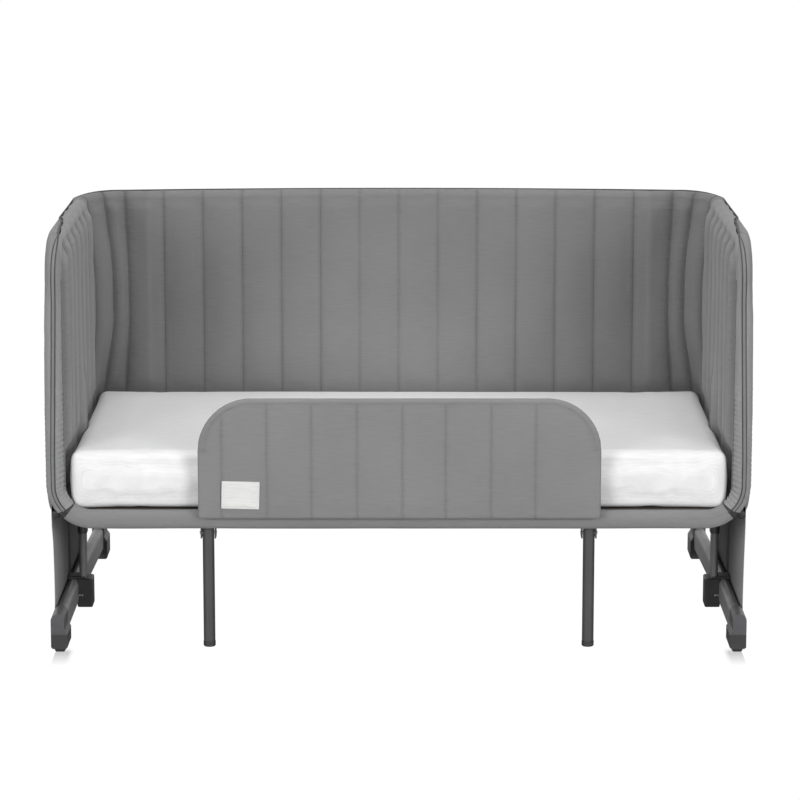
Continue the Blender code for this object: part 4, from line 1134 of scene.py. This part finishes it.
def build_skirt(side_name, side):
    """The fabric drop from the wall's pocket to the base tube, with slack upright folds and a sewn hem."""
    low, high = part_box(f"{side_name}_skirt")
    middle_x = (low[0] + high[0]) / 2
    y = np.linspace(low[1], high[1], 105)
    z = np.linspace(low[2], high[2], 60)
    grid_y, grid_z = np.meshgrid(y, z)
    slack = smoothstep(low[2], low[2] + 0.05, grid_z) * fade(0.19, 0.235, grid_z)
    fold = ripple(grid_y * 9, grid_z * 3, 2.0 + side) * 0.0030
    fold += ripple(grid_y * 30, grid_z * 12, 7.0) * 0.0006
    edge = np.minimum(grid_y - low[1], high[1] - grid_y)
    lean = 0.0024 + 0.0022 * fade(0.05, 0.24, grid_z)
    x = middle_x - side * (np.abs(fold) * slack + lean)
    points = np.stack([x, grid_y, grid_z], axis=-1)
    seam = np.minimum(np.abs(grid_z - low[2] - 0.018), np.abs(edge - 0.008))
    skirt = sheet_mesh(f"{side_name}_skirt_cloth", points, np.stack([grid_y, grid_z], axis=-1), seam)
    thicken(skirt, 0.0010, offset=0.0)
    link(skirt, SKIRT_CLOTH, f"{side_name}_foot", (f"{side_name}_skirt",))


# ---------- materials of the carried-over nodes ----------


def dress_frame():
    plain = {
        "front_rail": POWDER_COAT,
        "back_top_rail": POWDER_COAT,
        "back_base_rail": POWDER_COAT,
        "base_board": PLYWOOD_DARK_AS_SHADE,
    }
    for side_name, _ in SIDES:
        for part in ("side_frame", "base_rail", "cross_bar", "leg_clevis", "leg_sleeve", "centre_leg"):
            plain[f"{side_name}_{part}"] = POWDER_COAT
        plain[f"{side_name}_base_tube"] = TUBE_COAT
        plain[f"{side_name}_post"] = POST_COAT
        for part in ("rear_elbow", "sleeve_collar", "height_button", "leg_cap", "bracket"):
            plain[f"{side_name}_{part}"] = DARK_PLASTIC
        for part in ("front_cap", "rear_cap"):
            plain[f"{side_name}_{part}"] = CAP_PLASTIC
        plain[f"{side_name}_corner_collar"] = COLLAR_PLASTIC
        plain[f"{side_name}_wheel"] = WHEEL_PLASTIC
        for part in ("axle", "leg_pin", "bracket_screw_1", "bracket_screw_2"):
            plain[f"{side_name}_{part}"] = ZINC
    for name, material in plain.items():
        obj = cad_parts[name]
        obj.data.materials.clear()
        obj.data.materials.append(material)


# ---------- stage ----------

WORLD_LIGHT = 0.37
SIDE_LIGHT = 154
TOP_LIGHT = 81
WHITE = 1.02  # what the camera sees as the plain floor and background


def build_stage():
    bpy.ops.mesh.primitive_plane_add(size=24, location=(0, 4, 0))
    floor = bpy.context.object
    floor.name = "studio_floor"
    n = Nodes("studio_floor")
    n.shader.inputs["Base Color"].default_value = (0.42, 0.42, 0.42, 1)
    n.shader.inputs["Roughness"].default_value = 0.6
    # the camera sees a white floor, glossy only in a soft strip just in front of the end feet
    glow = n.add("ShaderNodeEmission", Strength=WHITE)
    gloss = n.add("ShaderNodeBsdfGlossy", Roughness=0.05, Color=(1, 1, 1, 1))
    place = n.add("ShaderNodeNewGeometry").outputs["Position"]
    ahead = n.axis(place, "Y")
    near = n.ramp(ahead, 0.0, 0.42, FRONT_Y - 0.115, FRONT_Y - 0.030)
    near = n.times(near, n.ramp(ahead, 1.0, 0.0, FRONT_Y - 0.020, FRONT_Y + 0.010))
    across = n.math("ABSOLUTE", n.axis(place, "X"))
    aside = n.times(n.ramp(across, 0.0, 1.0, 0.596, 0.608), n.ramp(across, 1.0, 0.0, 0.655, 0.68))
    seen = n.add("ShaderNodeMixShader")
    n.join(n.times(near, aside), seen, 0)
    n.join(glow, seen, 1)
    n.join(gloss, seen, 2)
    path = n.add("ShaderNodeLightPath")
    both = n.add("ShaderNodeMixShader")
    n.join(path.outputs["Is Camera Ray"], both, 0)
    n.join(n.shader.outputs[0], both, 1)
    n.join(seen.outputs[0], both, 2)
    n.join(both, n.tree.nodes["Material Output"], "Surface")
    floor.data.materials.append(n.material)
    # a bright card far behind the bed, which only the floor's reflection sees
    bpy.ops.mesh.primitive_plane_add(size=1, location=(0, 6, 2), rotation=(math.radians(90), 0, 0))
    card = bpy.context.object
    card.name = "studio_card"
    card.scale = (24, 5, 1)
    lit = Nodes("studio_card")
    lit.join(lit.add("ShaderNodeEmission", Strength=WHITE), lit.tree.nodes["Material Output"], "Surface")
    card.data.materials.append(lit.material)
    card.visible_camera = card.visible_diffuse = card.visible_shadow = card.visible_transmission = False
    world = bpy.data.worlds.new("studio")
    world.use_nodes = True
    tree = world.node_tree
    background = tree.nodes["Background"]
    background.inputs["Color"].default_value = (1, 1, 1, 1)
    path = tree.nodes.new("ShaderNodeLightPath")
    strength = tree.nodes.new("ShaderNodeMapRange")
    strength.inputs["To Min"].default_value = WORLD_LIGHT
    strength.inputs["To Max"].default_value = WHITE
    tree.links.new(path.outputs["Is Camera Ray"], strength.inputs["Value"])
    tree.links.new(strength.outputs[0], background.inputs["Strength"])
    bpy.context.scene.world = world
    for side_name, side in SIDES:
        add_light(f"{side_name}_softbox", (side * 3.4, -5.2, 1.6), (0, 0, 0.4), 2.4, SIDE_LIGHT)
    add_light("top_softbox", (0.0, -0.4, 4.2), (0, 0, 0.3), 3.0, TOP_LIGHT)


def add_light(name, place, target, size, power):
    light = bpy.data.lights.new(name, "AREA")
    light.shape = "SQUARE"
    light.size = size
    light.energy = power
    obj = bpy.data.objects.new(name, light)
    obj.location = place
    obj.rotation_euler = (Vector(target) - Vector(place)).to_track_quat("-Z", "Y").to_euler()
    bpy.context.scene.collection.objects.link(obj)


def add_camera():
    camera = bpy.data.cameras.new("camera")
    camera.lens = 149.7
    camera.sensor_width = 36
    obj = bpy.data.objects.new("camera", camera)
    obj.location = (0.0025, FRONT_Y - 5.933, 1.640)
    obj.rotation_euler = (math.radians(90 - 11.17), 0, 0)
    bpy.context.scene.collection.objects.link(obj)
    bpy.context.scene.camera = obj
    bpy.context.scene.view_settings.view_transform = "Standard"


add_camera()
dress_frame()
build_lining()
build_outer_cover()
build_piping()
for the_name, the_side in SIDES:
    build_edge_band(the_name, the_side)
    build_zip(the_name, the_side)
    build_skirt(the_name, the_side)
    build_rail_plugs(the_name, the_side)
build_rail_cover()
build_mattress()
build_guard()
build_tag()
build_stage()

bpy.context.view_layer.update()
